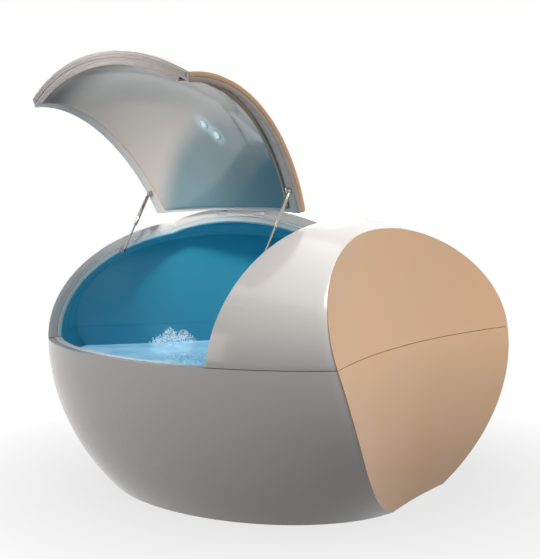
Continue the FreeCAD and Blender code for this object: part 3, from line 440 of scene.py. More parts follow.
PANEL_THICK = 0.003
PANEL_COLUMNS = 56
HANDS = ((1, "right"), (-1, "left"))

sand_acrylic = gelcoat("sand_acrylic", colour=(0.80, 0.51, 0.305), shade=(0.75, 0.475, 0.28),
                       roughness=0.36, coat=0.08, ripple=0.0002)


def close_ends(bm):
    """Cap the open ends of a tube-like mesh and turn its faces out."""
    bmesh.ops.holes_fill(bm, edges=[edge for edge in bm.edges if edge.is_boundary], sides=0)
    bmesh.ops.recalc_face_normals(bm, faces=bm.faces)


def side_panels(shell, rises):
    """The coloured flank skins of one shell, right and left."""
    rows = np.asarray(rises)[:, None]
    for side, hand in HANDS:
        layers = []
        for depth in (0.0, PANEL_THICK):
            angle = spread(*creases(rises, depth), PANEL_COLUMNS)
            layers.append(place(angle, rises, flank_reach(angle, rows, depth)))
        around = np.concatenate([layers[0], layers[1][:, ::-1]], axis=1)
        around[..., 0] *= side
        bm = sheet(around, True)
        close_ends(bm)
        make_piece(bm, f"{shell}_panel_skin_{hand}", sand_acrylic, "tank", "sand_panel",
                   f"{shell}_side_panel_{hand}")


side_panels("tub", tub_rises)

# ------------------------------------------------------------------ canopy shell
# The upper half of the egg, moulded like the tub and cut open at the front for the lid. The cut
# leaves a thick rounded edge down both cheeks and across the top, where the hinges are let in.

LID_HALF_WIDTH = 0.474              # half width of the opening at the widest section, at the seam
LID_FLARE = 0.1905                  # sideways per metre towards the front
LID_SPREAD = 0.0786                 # sideways per metre upwards
LID_JOINT = next(joint for joint in frame["joints"] if joint["name"] == "lid_hinge")
hinge_point = Vector(LID_JOINT["pos_m"])
CANOPY_EDGE_Y = hinge_point.y + 0.016
FLANK_ROWS, CROWN_ROWS = 36, 26
RISE_EASING = 1.7                   # brings the rows closer together towards the flank's top
CROWN_CLEAR = 0.001                 # the search for the flank's top ends this far under the crown
CUT_REACH = 0.007                   # points this close to a cut are slid onto it
CUT_PASSES = 12
VENT_HEIGHT = 0.950
VENT_BORE = 0.0455
VENT_CUT = (-0.12, 0.05)            # how far in and out of the skin its bore is cut


def flank_top(inset):
    """Height above the seam at which the flank's two creases meet."""
    return root(lambda rise: np.min(flank_reach(HALF_TURN, rise, inset) - egg_reach(HALF_TURN, rise, inset)),
                0.0, CROWN_RISE - inset - CROWN_CLEAR)


def flank_rises(inset, count):
    """Row heights from the seam to the flank's top."""
    return flank_top(inset) * (1 - (1 - np.linspace(0, 1, count)) ** RISE_EASING)


def canopy_rises(inset, bed):
    """Row heights: closer together towards the flank's top, then even up to the crown."""
    lower = flank_rises(bed, FLANK_ROWS)
    height = CROWN_RISE - inset
    turns = np.linspace(math.asin(lower[-1] / height), math.pi / 2, CROWN_ROWS)
    return np.concatenate([lower[:-1], height * np.sin(turns)])


def side_plane(sign, side):
    """The opening's cheek, moved inwards by side."""
    normal = Vector((sign, LID_FLARE, -LID_SPREAD))
    point = Vector((sign * (LID_HALF_WIDTH - side), JOIN_Y, SEAM_HEIGHT))
    return point, normal.normalized()


def opening(side, back):
    """The planes of the lid's wedge: its cheeks, moved inwards by side, and its back."""
    return [side_plane(1, side), side_plane(-1, side), (Vector((0, back, 0)), Vector((0, 1, 0)))]


def settle(points, planes, inset, floor=None):
    """Slide points that lie just beside a cut onto it, so that the cut leaves no slivers.

    Points as low as floor stay at that height."""
    axes = np.array([BODY_HALF_WIDTH - inset, BODY_FRONT - inset, CROWN_RISE - inset])
    middle = np.array([0, JOIN_Y, SEAM_HEIGHT])
    flat = points.reshape(-1, 3)
    low = np.zeros(len(flat), bool) if floor is None else flat[:, 2] < floor + WELD
    for _ in range(CUT_PASSES):
        for number, (point, normal) in enumerate(planes):
            point, normal = np.array(point), np.array(normal)
            others = [plane for index, plane in enumerate(planes) if index != number]
            off = (flat - point) @ normal
            close = (np.abs(off) < CUT_REACH) & (flat[:, 1] < JOIN_Y)
            for beside, facing in others:
                close &= (flat - np.array(beside)) @ np.array(facing) < CUT_REACH
            skin = (flat - middle) / axes ** 2
            skin /= np.linalg.norm(skin, axis=1)[:, None]
            along = normal - skin * (skin @ normal)[:, None]
            sideways = np.cross(skin, [0, 0, 1])
            sideways *= (sideways @ normal)[:, None]
            along = np.where(low[:, None], sideways, along)
            along = along[close]
            flat[close] -= along * (off[close] / (along @ normal))[:, None]
            shape = ((flat[close] - middle) / axes) ** 2
            up = shape[:, 2]
            around = np.sqrt((1 - up) / (shape[:, 0] + shape[:, 1]))
            whole = 1 / np.sqrt(shape.sum(axis=1))
            drawn = np.where(low[close], around, whole)
            rise = np.where(low[close], 1.0, whole)
            flat[close] = middle + (flat[close] - middle) * np.stack([drawn, drawn, rise], axis=1)
    return flat.reshape(points.shape)


def open_up(bm, planes, inside):
    """Cut a sheet along planes and take away the faces whose middle is inside."""
    for point, normal in planes:
        geometry = list(bm.verts) + list(bm.edges) + list(bm.faces)
        bmesh.ops.bisect_plane(bm, geom=geometry, dist=WELD / 2, plane_co=point, plane_no=normal)
    gone = [face for face in bm.faces if inside(face.calc_center_median())]
    bmesh.ops.delete(bm, geom=gone, context="FACES")


def within(side, back):
    """Tells whether a place is in the lid's wedge."""
    cheeks = [side_plane(sign, side) for sign in (1, -1)]

    def test(place):
        return place.y < back and all((place - point).dot(normal) < 0 for point, normal in cheeks)
    return test


def lathe(profile, place, direction, segments=64):
    """A turned part: pairs of radius and distance, spun about a direction from a place."""
    bm = bmesh.new()
    rows = []
    turns = [2 * math.pi * step / segments for step in range(segments)]
    for radius, distance in profile:
        if rows and (radius, distance) == tuple(profile[0]):
            rows.append(rows[0])
        elif radius < WELD:
            rows.append([bm.verts.new((0, 0, distance))])
        else:
            rows.append([bm.verts.new((radius * math.cos(t), radius * math.sin(t), distance)) for t in turns])
    for low, high in zip(rows, rows[1:]):
        for step in range(segments):
            after = (step + 1) % segments
            around = ((low, step), (low, after), (high, after), (high, step))
            ring = [row[at % len(row)] for row, at in around]
            corners = list(dict.fromkeys(ring))
            if len(corners) > 2:
                bm.faces.new(corners)
    turned = UP.rotation_difference(Vector(direction)).to_matrix().to_4x4()
    bmesh.ops.transform(bm, matrix=Matrix.Translation(place) @ turned, verts=bm.verts)
    bmesh.ops.recalc_face_normals(bm, faces=bm.faces)
    return bm


def drill(radius, place, direction, start, end):
    """A round cutter along a direction."""
    return lathe([(0, start), (radius, start), (radius, end), (0, end)], place, direction)


vent_rise = VENT_HEIGHT - SEAM_HEIGHT
vent_back = BODY_REAR * math.sqrt(1 - (vent_rise / CROWN_RISE) ** 2)
vent_place = Vector((0, JOIN_Y + vent_back, VENT_HEIGHT))
vent_axis = Vector((0, vent_back / BODY_REAR ** 2, vent_rise / CROWN_RISE ** 2)).normalized()

canopy_planes = opening(0, CANOPY_EDGE_Y)
canopy_points = body_rows(canopy_rises(0.0, PANEL_BED), 0.0, PANEL_BED)
canopy = sheet(settle(canopy_points, canopy_planes, 0.0), True)
face_outwards(canopy)
open_up(canopy, canopy_planes, within(0.0, CANOPY_EDGE_Y))
thicken(canopy, SHELL_WALL, canopy_planes + [level(0.0)])
canopy = bored(canopy, drill(VENT_BORE, vent_place, vent_axis, *VENT_CUT))
round_edges(canopy, EDGE_ROUND)
make_piece(canopy, "canopy_moulding", white_gelcoat, "tank", "white_shell", "canopy_shell")

# ------------------------------------------------------------------ canopy side panels
# The upper pair of coloured flank skins. They meet the tub's pair at the seam and run up to a
# point where the scoop fades into the egg.

UPPER_PANEL_ROWS = 40

side_panels("canopy", flank_rises(0.0, UPPER_PANEL_ROWS))

# ------------------------------------------------------------------ canopy lining
# The cabin's inner skin, a teal gelcoat moulding that is bonded inside the canopy and trimmed
# back to the lip round the opening.

LINING_INSET = 0.068
LINING_WALL = 0.006
LIP_REACH = 0.012
LIP_BACK = CANOPY_EDGE_Y - 0.032

teal_gelcoat = gelcoat("teal_gelcoat", colour=(0.065, 0.44, 0.57), shade=(0.035, 0.34, 0.46),
                       roughness=0.15, coat=0.7)


def skin_band(inset, inner, outer=None):
    """The upper skin at an inset, outside one wedge of the opening and inside another."""
    planes = opening(*inner)
    bm = sheet(settle(body_rows(canopy_rises(inset, inset), inset), planes, inset), True)
    face_outwards(bm)
    open_up(bm, planes, within(*inner))
    if outer is not None:
        kept = within(*outer)
        open_up(bm, opening(*outer), lambda place: not kept(place))
        planes = planes + opening(*outer)
    return bm, planes + [level(0.0)]


lining, lining_planes = skin_band(LINING_INSET, (LIP_REACH, LIP_BACK))
turn_over(lining)
thicken(lining, LINING_WALL, lining_planes)
lining = bored(lining, drill(VENT_BORE, vent_place, vent_axis, *VENT_CUT))
make_piece(lining, "cabin_lining", teal_gelcoat, "tank", "teal_liner", "canopy_liner")

# ------------------------------------------------------------------ lip of the opening
# A pale moulded return that runs down both cheeks and across the top. It closes the gap between
# the canopy's two skins, and the lid shuts on its ledge.

GLUE_LINE = 0.0003
LIP_INSET = 0.044
LIP_WALL = LINING_INSET - LINING_WALL - GLUE_LINE - LIP_INSET
LIP_UNDER = 0.030                   # how far the lip runs in behind the canopy's edge
LIP_ROOT = 0.0345                   # its root closes up to the canopy's wall
ROOT_SIDE = 0.0004
ROOT_LAP = 0.0005

lip_gelcoat = gelcoat("lip_gelcoat", colour=(0.70, 0.78, 0.80), shade=(0.64, 0.72, 0.75),
                      roughness=0.14, coat=0.6)
lip_under = (-LIP_UNDER, CANOPY_EDGE_Y + LIP_UNDER)
lip, lip_planes = skin_band(LIP_INSET, (LIP_REACH, LIP_BACK), lip_under)
thicken(lip, LIP_WALL, lip_planes, LIP_INSET + LIP_WALL)
lip_root, root_planes = skin_band(LIP_ROOT, (ROOT_SIDE, CANOPY_EDGE_Y), lip_under)
thicken(lip_root, LIP_INSET + ROOT_LAP - LIP_ROOT, root_planes, LIP_INSET + ROOT_LAP)
lip = joined(lip, lip_root)
round_edges(lip, width=0.002)
make_piece(lip, "opening_lip", lip_gelcoat, "tank", "white_shell", "canopy_liner")

# ------------------------------------------------------------------ opening seal
# A soft rubber strip, extruded and stuck on the lip's ledge. The lid presses it down when it shuts,
# which keeps the warm damp air in.

SEAL_THICK = 0.0036
SEAL_IN = (0.0118, CANOPY_EDGE_Y - 0.0315)
SEAL_OUT = (0.0022, CANOPY_EDGE_Y - 0.0142)
SEAL_FACE = LIP_INSET - 0.0001


def rubber(name, colour, grit=900.0):
    """Moulded rubber: matt, very finely pitted, a little dusty."""
    material, tree, shader = new_finish(name)
    dusty = tuple(channel * 1.12 + 0.004 for channel in colour)
    feed(shader, {"Base Color": cloud(tree, colour, dusty, scale=7.0, detail=4.0),
                  "Normal": grain(tree, depth=0.00006, scale=grit), "Roughness": 0.62})
    return material


grey_rubber = rubber("grey_rubber", (0.42, 0.50, 0.54))
seal, seal_planes = skin_band(SEAL_FACE, SEAL_IN, SEAL_OUT)
turn_over(seal)
thicken(seal, SEAL_THICK, seal_planes, SEAL_FACE - SEAL_THICK)
round_edges(seal, width=0.0011, segments=2)
make_piece(seal, "opening_seal_strip", grey_rubber, "tank", "seal_rubber", "opening_seal")

# ------------------------------------------------------------------ basin
# The bath itself: a teal moulding with a flat floor, whose rim rests between tub and canopy. Each
# flank is bored for a lamp, a jet and a button, and the floor for the drain.

BOWL_DEPTH = 0.430
BOWL_DROP = BOWL_DEPTH + LINING_INSET
BASIN_WALL = 0.008
DRAIN_BORE = 0.0500
WALL_CUT = (-0.03, 0.03)            # how far in and out of a skin its bores are cut
BOWL_ROWS, FLOOR_RINGS = 40, 24
FLANK_BORES = {                     # distance behind the widest section, height above the floor, radius
    "lamp": (0.330, 0.520, 0.0445),
    "nozzle": (0.700, 0.500, 0.0240),
    "button": (0.060, 0.655, 0.0230)}
SLOPE_STEP = 0.001

basin_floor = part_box("tub_basin")[0].z + BASIN_WALL - SEAM_HEIGHT
basin_turns = np.linspace(math.asin(-tub_top / BOWL_DEPTH), math.asin(-basin_floor / BOWL_DEPTH), BOWL_ROWS)
basin_rises = -BOWL_DEPTH * np.sin(basin_turns)


def towards_middle(row, shares):
    """Copies of a row of points, drawn in level towards the bath's middle."""
    middle = np.array([0.0, 0.0, row[0, 2]])
    return [middle + (row - middle) * share for share in shares]


bowl = body_rows(basin_rises, LINING_INSET, drop=BOWL_DROP)
bowl = np.concatenate([bowl, towards_middle(bowl[-1], np.linspace(1, 0, FLOOR_RINGS)[1:])])
basin = sheet(bowl, True)
face_outwards(basin)
turn_over(basin)
thicken(basin, BASIN_WALL, [level(basin_rises[0])])


def flank_place(side, back, height):
    """A point on the cabin side of a flank, and the direction in from it."""
    def across(y, z):
        radius = float(flank_radius(z - SEAM_HEIGHT, LINING_INSET))
        return SCOOP_WAIST + SCOOP_RADIUS - math.sqrt(radius ** 2 - (y - JOIN_Y - SCOOP_AXIS_BACK) ** 2)
    y, step = JOIN_Y + back, SLOPE_STEP
    here = across(y, height)
    inward = -Vector((step, here - across(y + step, height), here - across(y, height + step))).normalized()
    inward.x *= side
    return Vector((side * here, y, height)), inward


flank_axes = {}
cutters = []
for fitting, (back, height, radius) in FLANK_BORES.items():
    for side, _ in HANDS:
        flank_axes[fitting, side] = flank_place(side, back, height)
        cutters.append(drill(radius, *flank_axes[fitting, side], *WALL_CUT))
drain_low, drain_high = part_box("drain_cover")
drain_middle = (drain_low + drain_high) / 2
cutters.append(drill(DRAIN_BORE, Vector((*drain_middle.xy, drain_low.z)), UP, *WALL_CUT))
make_piece(bored(basin, *cutters), "basin_moulding", teal_gelcoat, "tank", "teal_liner", "tub_basin")

# ------------------------------------------------------------------ basin rim
# The basin's flange, gelcoated in a lighter and duller copy of the shells' white, whose lightness is a
# painted highlight. It is bonded against the tub's wall and caps the bowl's upper edge.

RIM_OUTER = SHELL_WALL + GLUE_LINE
RIM_INNER = LINING_INSET - 0.0008
RIM_FOOT = LINING_INSET - BASIN_WALL + 0.001
RIM_HEIGHT = 0.024
RIM_LIP = 0.001

rim_rows = []
for inset, rise in ((RIM_OUTER, GLUE_LINE), (RIM_INNER, GLUE_LINE), (RIM_INNER, -RIM_LIP),
                    (RIM_FOOT, -RIM_HEIGHT), (RIM_OUTER, -RIM_HEIGHT)):
    drop = BELLY_DROP if inset == RIM_OUTER else BOWL_DROP
    rim_rows.append(body_rows(np.array([tub_top + rise]), inset, drop=drop)[0])
rim = sheet(np.stack(rim_rows + rim_rows[:1]), True)
bmesh.ops.recalc_face_normals(rim, faces=rim.faces)
# a lighter copy of the white gelcoat, as a painted highlight on the rim's top
rim_highlight_gelcoat = gelcoat("rim_highlight_gelcoat", colour=(0.93, 0.93, 0.92), shade=(0.88, 0.88, 0.87),
                      roughness=0.45, coat=0.0)
feed(rim_highlight_gelcoat.node_tree.nodes["Principled BSDF"], {"Specular IOR Level": 0.15})
make_piece(rim, "basin_rim_flange", rim_highlight_gelcoat, "tank", "white_shell", "tub_basin")

# ------------------------------------------------------------------ cabin joint
# A bead of teal sealant, run into the groove where the cabin's lining stands on the basin's rim and
# smoothed off, so that no damp gets in behind the lining.

BEAD_PROUD = 0.0006
BEAD_DEPTH = 0.010
BEAD_GAP = 0.0001

bead_rises = np.array([tub_top + BEAD_GAP, -BEAD_GAP])
bead = hoop(bead_rises, (LINING_INSET + BEAD_PROUD,), (LINING_INSET - BEAD_DEPTH,))
open_up(bead, opening(LIP_REACH, LIP_BACK)[:2], within(LIP_REACH, LIP_BACK))
close_ends(bead)
teal_sealant = rubber("teal_sealant", (0.035, 0.33, 0.45))
make_piece(bead, "cabin_joint_bead", teal_sealant, "tank", "teal_liner")

# ------------------------------------------------------------------ lid shell
# The front of the upper egg as a moulding of its own, with thick trimmed edges. It swings up
# about the hinge line, so it is shaped shut and then turned open.

LID_SIDE_GAP = 0.005
LID_TRIM = 0.003
LID_GLUE = 0.0005
LID_EDGE_Y = hinge_point.y - 0.009
LID_RISE = 0.006
LID_WALL = 0.040
LID_ROWS, LID_COLUMNS = 64, 90
LID_OPENING = math.radians(LID_JOINT["range_deg"][1])
LID_TURN = (Matrix.Translation(hinge_point) @ Matrix.Rotation(-LID_OPENING, 4, "X")
            @ Matrix.Translation(-hinge_point))


def lid_sheet(inset, side, back, bottom=LID_RISE):
    """The lid's skin at an inset, as it lies when shut."""
    height = CROWN_RISE - inset
    rises = height * np.sin(np.linspace(math.asin(bottom / height), math.pi / 2, LID_ROWS))
    angle = np.broadcast_to(np.linspace(-math.pi / 2, 0.0, LID_COLUMNS), (LID_ROWS, LID_COLUMNS))
    half = place(angle, rises, egg_reach(angle, rises[:, None], inset))
    other = half[:, :0:-1].copy()
    other[..., 0] *= -1
    planes = opening(side, back)
    points = settle(np.concatenate([other, half], axis=1), planes, inset, floor=SEAM_HEIGHT + bottom)
    bm = sheet(points, False)
    face_outwards(bm)
    inside = within(side, back)
    open_up(bm, planes, lambda place: not inside(place))
    return bm, planes + [level(bottom)]


def make_lid_piece(bm, name, finish, slot, *nodes):
    """Swing a mesh that was shaped shut up with the lid and make it a piece of the lid."""
    bmesh.ops.transform(bm, matrix=LID_TURN, verts=bm.verts)
    make_piece(bm, name, finish, "lid", slot, *nodes)


lid, lid_planes = lid_sheet(0.0, LID_SIDE_GAP + LID_TRIM + LID_GLUE, LID_EDGE_Y)
thicken(lid, LID_WALL, lid_planes, LID_WALL)
round_edges(lid, EDGE_ROUND)
make_lid_piece(lid, "lid_moulding", white_gelcoat, "white_shell", "lid_shell")

# ------------------------------------------------------------------ lid lining
# A pale gloss skin bonded inside the lid, set back from its edges so that a gutter is left for
# the struts and for drips. Over its middle lies a painted teal reflection, along its front edge
# a painted dark shade in a band that is also duller, and round each lamp a painted glow.

LID_LINING_INSET = 0.058
LID_LINING_WALL = 0.0175
LID_GUTTER = 0.075
LID_LINING_EDGE_Y = hinge_point.y - 0.030
LID_PIPING = 0.004                  # coloured strip on the lining's side edges
LID_CAPPING = 0.005                 # white strip on its front edge
LID_LAMP_PLACES = ((0.132, -0.524), (0.086, -0.581))        # across and ahead, with the lid shut
LAMP_RING_BORE = 0.018
PAINTED_LAMP_GLOW = 0.22                    # how brightly the lamps' light is painted on the lining as a glow at a ring
PAINTED_GLOW_REACH = 0.075
LINING_COAT = 0.8
REFLECTION_MIDDLE = (0.25, 0.0, 1.15)     # the painted teal reflection lies over this part of the open lid
REFLECTION_REACH = (0.763, 1000.0, 0.608)
REFLECTION_FADE = (0.86, 1.10)            # shares of its reach between which it fades out
SHADE_BAND = (0.03, 0.22)            # a band of painted dark shade along the front edge, also duller, fades out between these
SHADE_COVER = 0.95
SHADE_BAND_GLOSS = 0.12                   # share of the gloss that is left in it


def fade(tree, value, start, end, first, last, easing="SMOOTHERSTEP"):
    """A number that runs from first to last while a value runs from start to end."""
    return add_node(tree, "ShaderNodeMapRange", "Result",
                    {"Value": value, "From Min": start, "From Max": end, "To Min": first, "To Max": last},
                    interpolation_type=easing)


def measured(tree, operation, place, other=(0, 0, 0)):
    """A length, distance or dot product of places."""
    return add_node(tree, "ShaderNodeVectorMath", "Value", {0: place, 1: other}, operation=operation)


def combined(tree, operation, first, second):
    """Two numbers put together."""
    return add_node(tree, "ShaderNodeMath", 0, {0: first, 1: second}, operation=operation)


def covered(tree, share, under, over):
    """One colour over another as far as share says. The node's colours are its sockets 6 and 7."""
    return add_node(tree, "ShaderNodeMix", 2, {0: share, 6: under, 7: over}, data_type="RGBA")


def egg_place(x, ahead, inset):
    """A point of the upper skin and the direction in from it."""
    axes = Vector((BODY_HALF_WIDTH - inset, BODY_FRONT - inset, CROWN_RISE - inset))
    rise = axes.z * math.sqrt(1 - (x / axes.x) ** 2 - (ahead / axes.y) ** 2)
    return Vector((x, JOIN_Y + ahead, SEAM_HEIGHT + rise)), -egg_facing(x, ahead, rise)


def lining_gelcoat(name, lamps):
    """Pale gelcoat with a painted teal reflection, a duller band of painted shade and a painted lamp glow."""
    material = gelcoat(name, colour=(0.80, 0.685, 0.60), shade=(0.65, 0.60, 0.56), roughness=0.12,
                       coat=LINING_COAT)
    tree, shader = material.node_tree, material.node_tree.nodes["Principled BSDF"]
    pale = shader.inputs["Base Color"].links[0].from_socket
    reflection_place = add_node(tree, "ShaderNodeMapping", "Vector", {
        "Vector": own_place(tree), "Location": REFLECTION_MIDDLE, "Scale": REFLECTION_REACH}, vector_type="TEXTURE")
    reflection_share = fade(tree, measured(tree, "LENGTH", reflection_place), *REFLECTION_FADE, first=1.0, last=0.0)
    # the teal colour is a painted reflection of the cabin in the lining's gloss
    painted_reflection = cloud(tree, (0.14, 0.26, 0.30), (0.19, 0.33, 0.37), scale=1.6, detail=1.0)
    reflected_over = covered(tree, reflection_share, pale, painted_reflection)
    # Painted shade: a near-black band along the lid's front edge, whose coat and specular are also lowered.
    lid_up = LID_TURN.to_3x3() @ UP
    start = lid_up.dot(LID_TURN @ Vector((0, 0, SEAM_HEIGHT + LID_RISE)))
    band = fade(tree, measured(tree, "DOT_PRODUCT", own_place(tree), lid_up),
                start + SHADE_BAND[0], start + SHADE_BAND[1], first=SHADE_COVER, last=0.0)
    # the lamps' light on the lining is painted on as an emission round each ring
    painted_glows = []
    for spot, _ in lamps:
        away = measured(tree, "DISTANCE", own_place(tree), LID_TURN @ spot)
        painted_glows.append(fade(tree, away, LAMP_RING_BORE, PAINTED_GLOW_REACH, first=PAINTED_LAMP_GLOW, last=0.0))
    # the band's near-black colour is painted shade
    feed(shader, {"Base Color": covered(tree, band, reflected_over, (0.10, 0.10, 0.09, 1)),
                  "Coat Weight": fade(tree, band, 0.0, 1.0, LINING_COAT, LINING_COAT * SHADE_BAND_GLOSS, "LINEAR"),
                  "Specular IOR Level": fade(tree, band, 0.0, 1.0, 0.5, 0.5 * SHADE_BAND_GLOSS, "LINEAR"),
                  "Coat IOR": 1.6, "Emission Color": (0.45, 0.85, 0.92, 1),
                  "Emission Strength": combined(tree, "ADD", *painted_glows)})
    return material


lid_lamps = [egg_place(*spot, LID_LINING_INSET) for spot in LID_LAMP_PLACES]
lid_lining, lining_planes = lid_sheet(
    LID_LINING_INSET, LID_GUTTER + LID_PIPING, LID_LINING_EDGE_Y, LID_RISE + LID_CAPPING)
turn_over(lid_lining)
thicken(lid_lining, LID_LINING_WALL, lining_planes, LID_LINING_INSET - LID_LINING_WALL)
round_edges(lid_lining, EDGE_ROUND)
lid_lining = bored(lid_lining, *[drill(LAMP_RING_BORE, *lamp, *WALL_CUT) for lamp in lid_lamps])
pale_gelcoat = lining_gelcoat("pale_gelcoat", lid_lamps)
make_lid_piece(lid_lining, "lid_lining_skin", pale_gelcoat, "lid_liner", "lid_liner")

# ------------------------------------------------------------------ lid edge trims
# Sand-coloured profiles bonded to the cut edge of the lid's moulding, one down each cheek, with a
# grey rubber strip pressed in beside them whose colour is painted shade on the cheek's face, and
# thin coloured strips on the lining's side edges.

TRIM_ROWS = 110
TRIM_WIDTH = 0.019
SHADE_STRIP_SUNK = 0.0008
STRIP_LAP = 0.0004
PIPING_DEPTH = 0.006
CHEEK_SEARCH = 4000                 # steps of the search for the cheek's end
CHEEK_LAST = 1.09                   # an angle past the hinge edge


def cheek_line(sign, side, inset, back=LID_EDGE_Y):
    """Points from the lid's lower edge to its hinge edge where a cheek's plane meets a skin."""
    width, length, height = BODY_HALF_WIDTH - inset, BODY_FRONT - inset, CROWN_RISE - inset

    def along(turns):
        start = LID_HALF_WIDTH - side + LID_SPREAD * height * np.sin(turns)
        square = LID_FLARE ** 2 / width ** 2 + 1 / length ** 2
        slope = -2 * start * LID_FLARE / width ** 2
        rest = start ** 2 / width ** 2 - np.cos(turns) ** 2
        return start, (-slope - np.sqrt(np.maximum(slope ** 2 - 4 * square * rest, 0))) / (2 * square)

    turns = np.linspace(math.asin(LID_RISE / height), CHEEK_LAST, CHEEK_SEARCH)
    last = np.interp(back - JOIN_Y, along(turns)[1], turns)
    turns = np.linspace(turns[0], last, TRIM_ROWS)
    start, reach = along(turns)
    return np.stack([sign * (start - LID_FLARE * reach), JOIN_Y + reach,
                     SEAM_HEIGHT + height * np.sin(turns)], axis=-1)


def cheek_strip(sign, sides, insets, width, back=LID_EDGE_Y):
    """A strip down one cheek, between two depths behind the cheek's plane and two insets."""
    (front, rear), (outer, inner) = sides, insets
    corners = ((front, outer), (front, inner), (rear, inner), (rear, outer))
    bm = sheet(np.stack([cheek_line(sign, side, inset, back) for side, inset in corners], axis=1), True)
    close_ends(bm)
    round_edges(bm, width, segments=2)
    return bm


trim_sides = (LID_SIDE_GAP, LID_SIDE_GAP + LID_TRIM)
shade_strip_sides = (LID_SIDE_GAP + SHADE_STRIP_SUNK, LID_SIDE_GAP + LID_TRIM)
piping_sides = (LID_GUTTER, LID_GUTTER + LID_PIPING)
piping_insets = (LID_LINING_INSET - PIPING_DEPTH, LID_LINING_INSET + STRIP_LAP)
# the grey strip's colour is painted shade on the lid's cheek face
shade_strip_rubber = rubber("shade_strip_rubber", (0.43, 0.385, 0.36))
for sign, hand in HANDS:
    trim = cheek_strip(sign, trim_sides, (0.0, TRIM_WIDTH), width=0.0008)
    make_lid_piece(trim, f"lid_edge_profile_{hand}", sand_acrylic, "sand_panel", f"lid_edge_trim_{hand}")
    shade_strip = cheek_strip(sign, shade_strip_sides, (TRIM_WIDTH + GLUE_LINE, LID_WALL), width=0.0005)
    make_lid_piece(shade_strip, f"lid_edge_buffer_{hand}", shade_strip_rubber, "sand_panel", f"lid_edge_trim_{hand}")
    piping = cheek_strip(sign, piping_sides, piping_insets, width=0.0006, back=LID_LINING_EDGE_Y)
    make_lid_piece(piping, f"lid_lining_piping_{hand}", sand_acrylic, "lid_liner", "lid_liner")

# ------------------------------------------------------------------ lid seal
# A rubber strip with two soft ribs under the lid's front edge. It rests on the tub's rim. A plain
# strip of the same rubber caps the lining's front edge.

LID_SEAL_SIDE = LID_SIDE_GAP + 0.020
LID_SEAL_FACE = (0.0282, 0.0083)    # inner and outer insets of the strip
LID_SEAL_BOTTOM = 0.0007
LID_SEAL_TOP = 0.0059
RIB_SHARE = 0.25                    # of the strip's height
RIB_FULLNESS = 0.6                  # below 1 a rib is fuller than a sine
RIB_POINTS = 25
STRIP_LAST = -0.2                   # an angle past the strip's ends
STRIP_COLUMNS = 160


def ribbed_section():
    """Half-round ribs side by side, from the inner foot over to the outer foot."""
    share = np.linspace(0, 1, RIB_POINTS)
    rib = np.abs(np.sin(share * 2 * math.pi)) ** RIB_FULLNESS
    depth = LID_SEAL_TOP - (LID_SEAL_TOP - LID_SEAL_BOTTOM) * (1 - RIB_SHARE + RIB_SHARE * rib)
    inset = LID_SEAL_FACE[0] + (LID_SEAL_FACE[1] - LID_SEAL_FACE[0]) * share
    return np.concatenate([inset, inset[[-1, 0]]]), np.concatenate([depth, [LID_SEAL_TOP, LID_SEAL_TOP]])


def front_strip(insets, rises, side):
    """A strip along the lid's front edge: its section is insets and heights, its ends meet the cheeks."""
    rows = []
    for inset, rise in zip(insets, rises):
        def off(angle):
            reach = egg_reach(np.array(angle), np.array(rise), inset)
            cheek = LID_HALF_WIDTH - side - LID_FLARE * float(reach * np.sin(angle)) + LID_SPREAD * rise
            return float(reach * np.cos(angle)) - cheek
        end = root(off, -math.pi / 2, STRIP_LAST)
        angle = np.linspace(-math.pi - end, end, STRIP_COLUMNS)[None]
        rows.append(place(angle, [rise], egg_reach(angle, np.full(STRIP_COLUMNS, rise), inset))[0])
    bm = sheet(np.stack(rows, axis=1), True)
    close_ends(bm)
    return bm


lid_rubber = rubber("lid_rubber", (0.74, 0.70, 0.665))
lid_strip = front_strip(*ribbed_section(), LID_SEAL_SIDE)
make_lid_piece(lid_strip, "lid_seal_strip", lid_rubber, "seal_rubber", "lid_seal")

cap_insets = np.array([-LID_LINING_WALL, STRIP_LAP, STRIP_LAP, -LID_LINING_WALL]) + LID_LINING_INSET
cap_rises = np.array([0, 0, LID_CAPPING, LID_CAPPING]) + LID_RISE
capping = front_strip(cap_insets, cap_rises, LID_GUTTER)
round_edges(capping, width=0.001, segments=2)
make_lid_piece(capping, "lid_lining_capping", lid_rubber, "lid_liner", "lid_liner")

# ------------------------------------------------------------------ seam gasket
# A thin dark rubber layer between the tub's rim and the canopy, set back from the outside. It
# stops where the lid's opening begins.

GASKET_INSET = 0.004
GASKET_WIDTH = 0.026

gasket_outer = (GASKET_INSET, GASKET_INSET + PANEL_BED)
gasket = hoop(np.array([tub_top, 0.0]), gasket_outer, (GASKET_INSET + GASKET_WIDTH,))
open_up(gasket, opening(0, hinge_point.y)[:2], within(0.0, hinge_point.y))
close_ends(gasket)
make_piece(gasket, "seam_gasket_strip", rubber("dark_rubber", (0.035, 0.035, 0.038)), "tank", "seal_rubber",
           "seam_gasket")

# ------------------------------------------------------------------ gas struts
# A chromed tube turns on a pin under the lid's skin, and a polished rod slides out of it through
# a guide. The rod's collar and socket are pressed on.

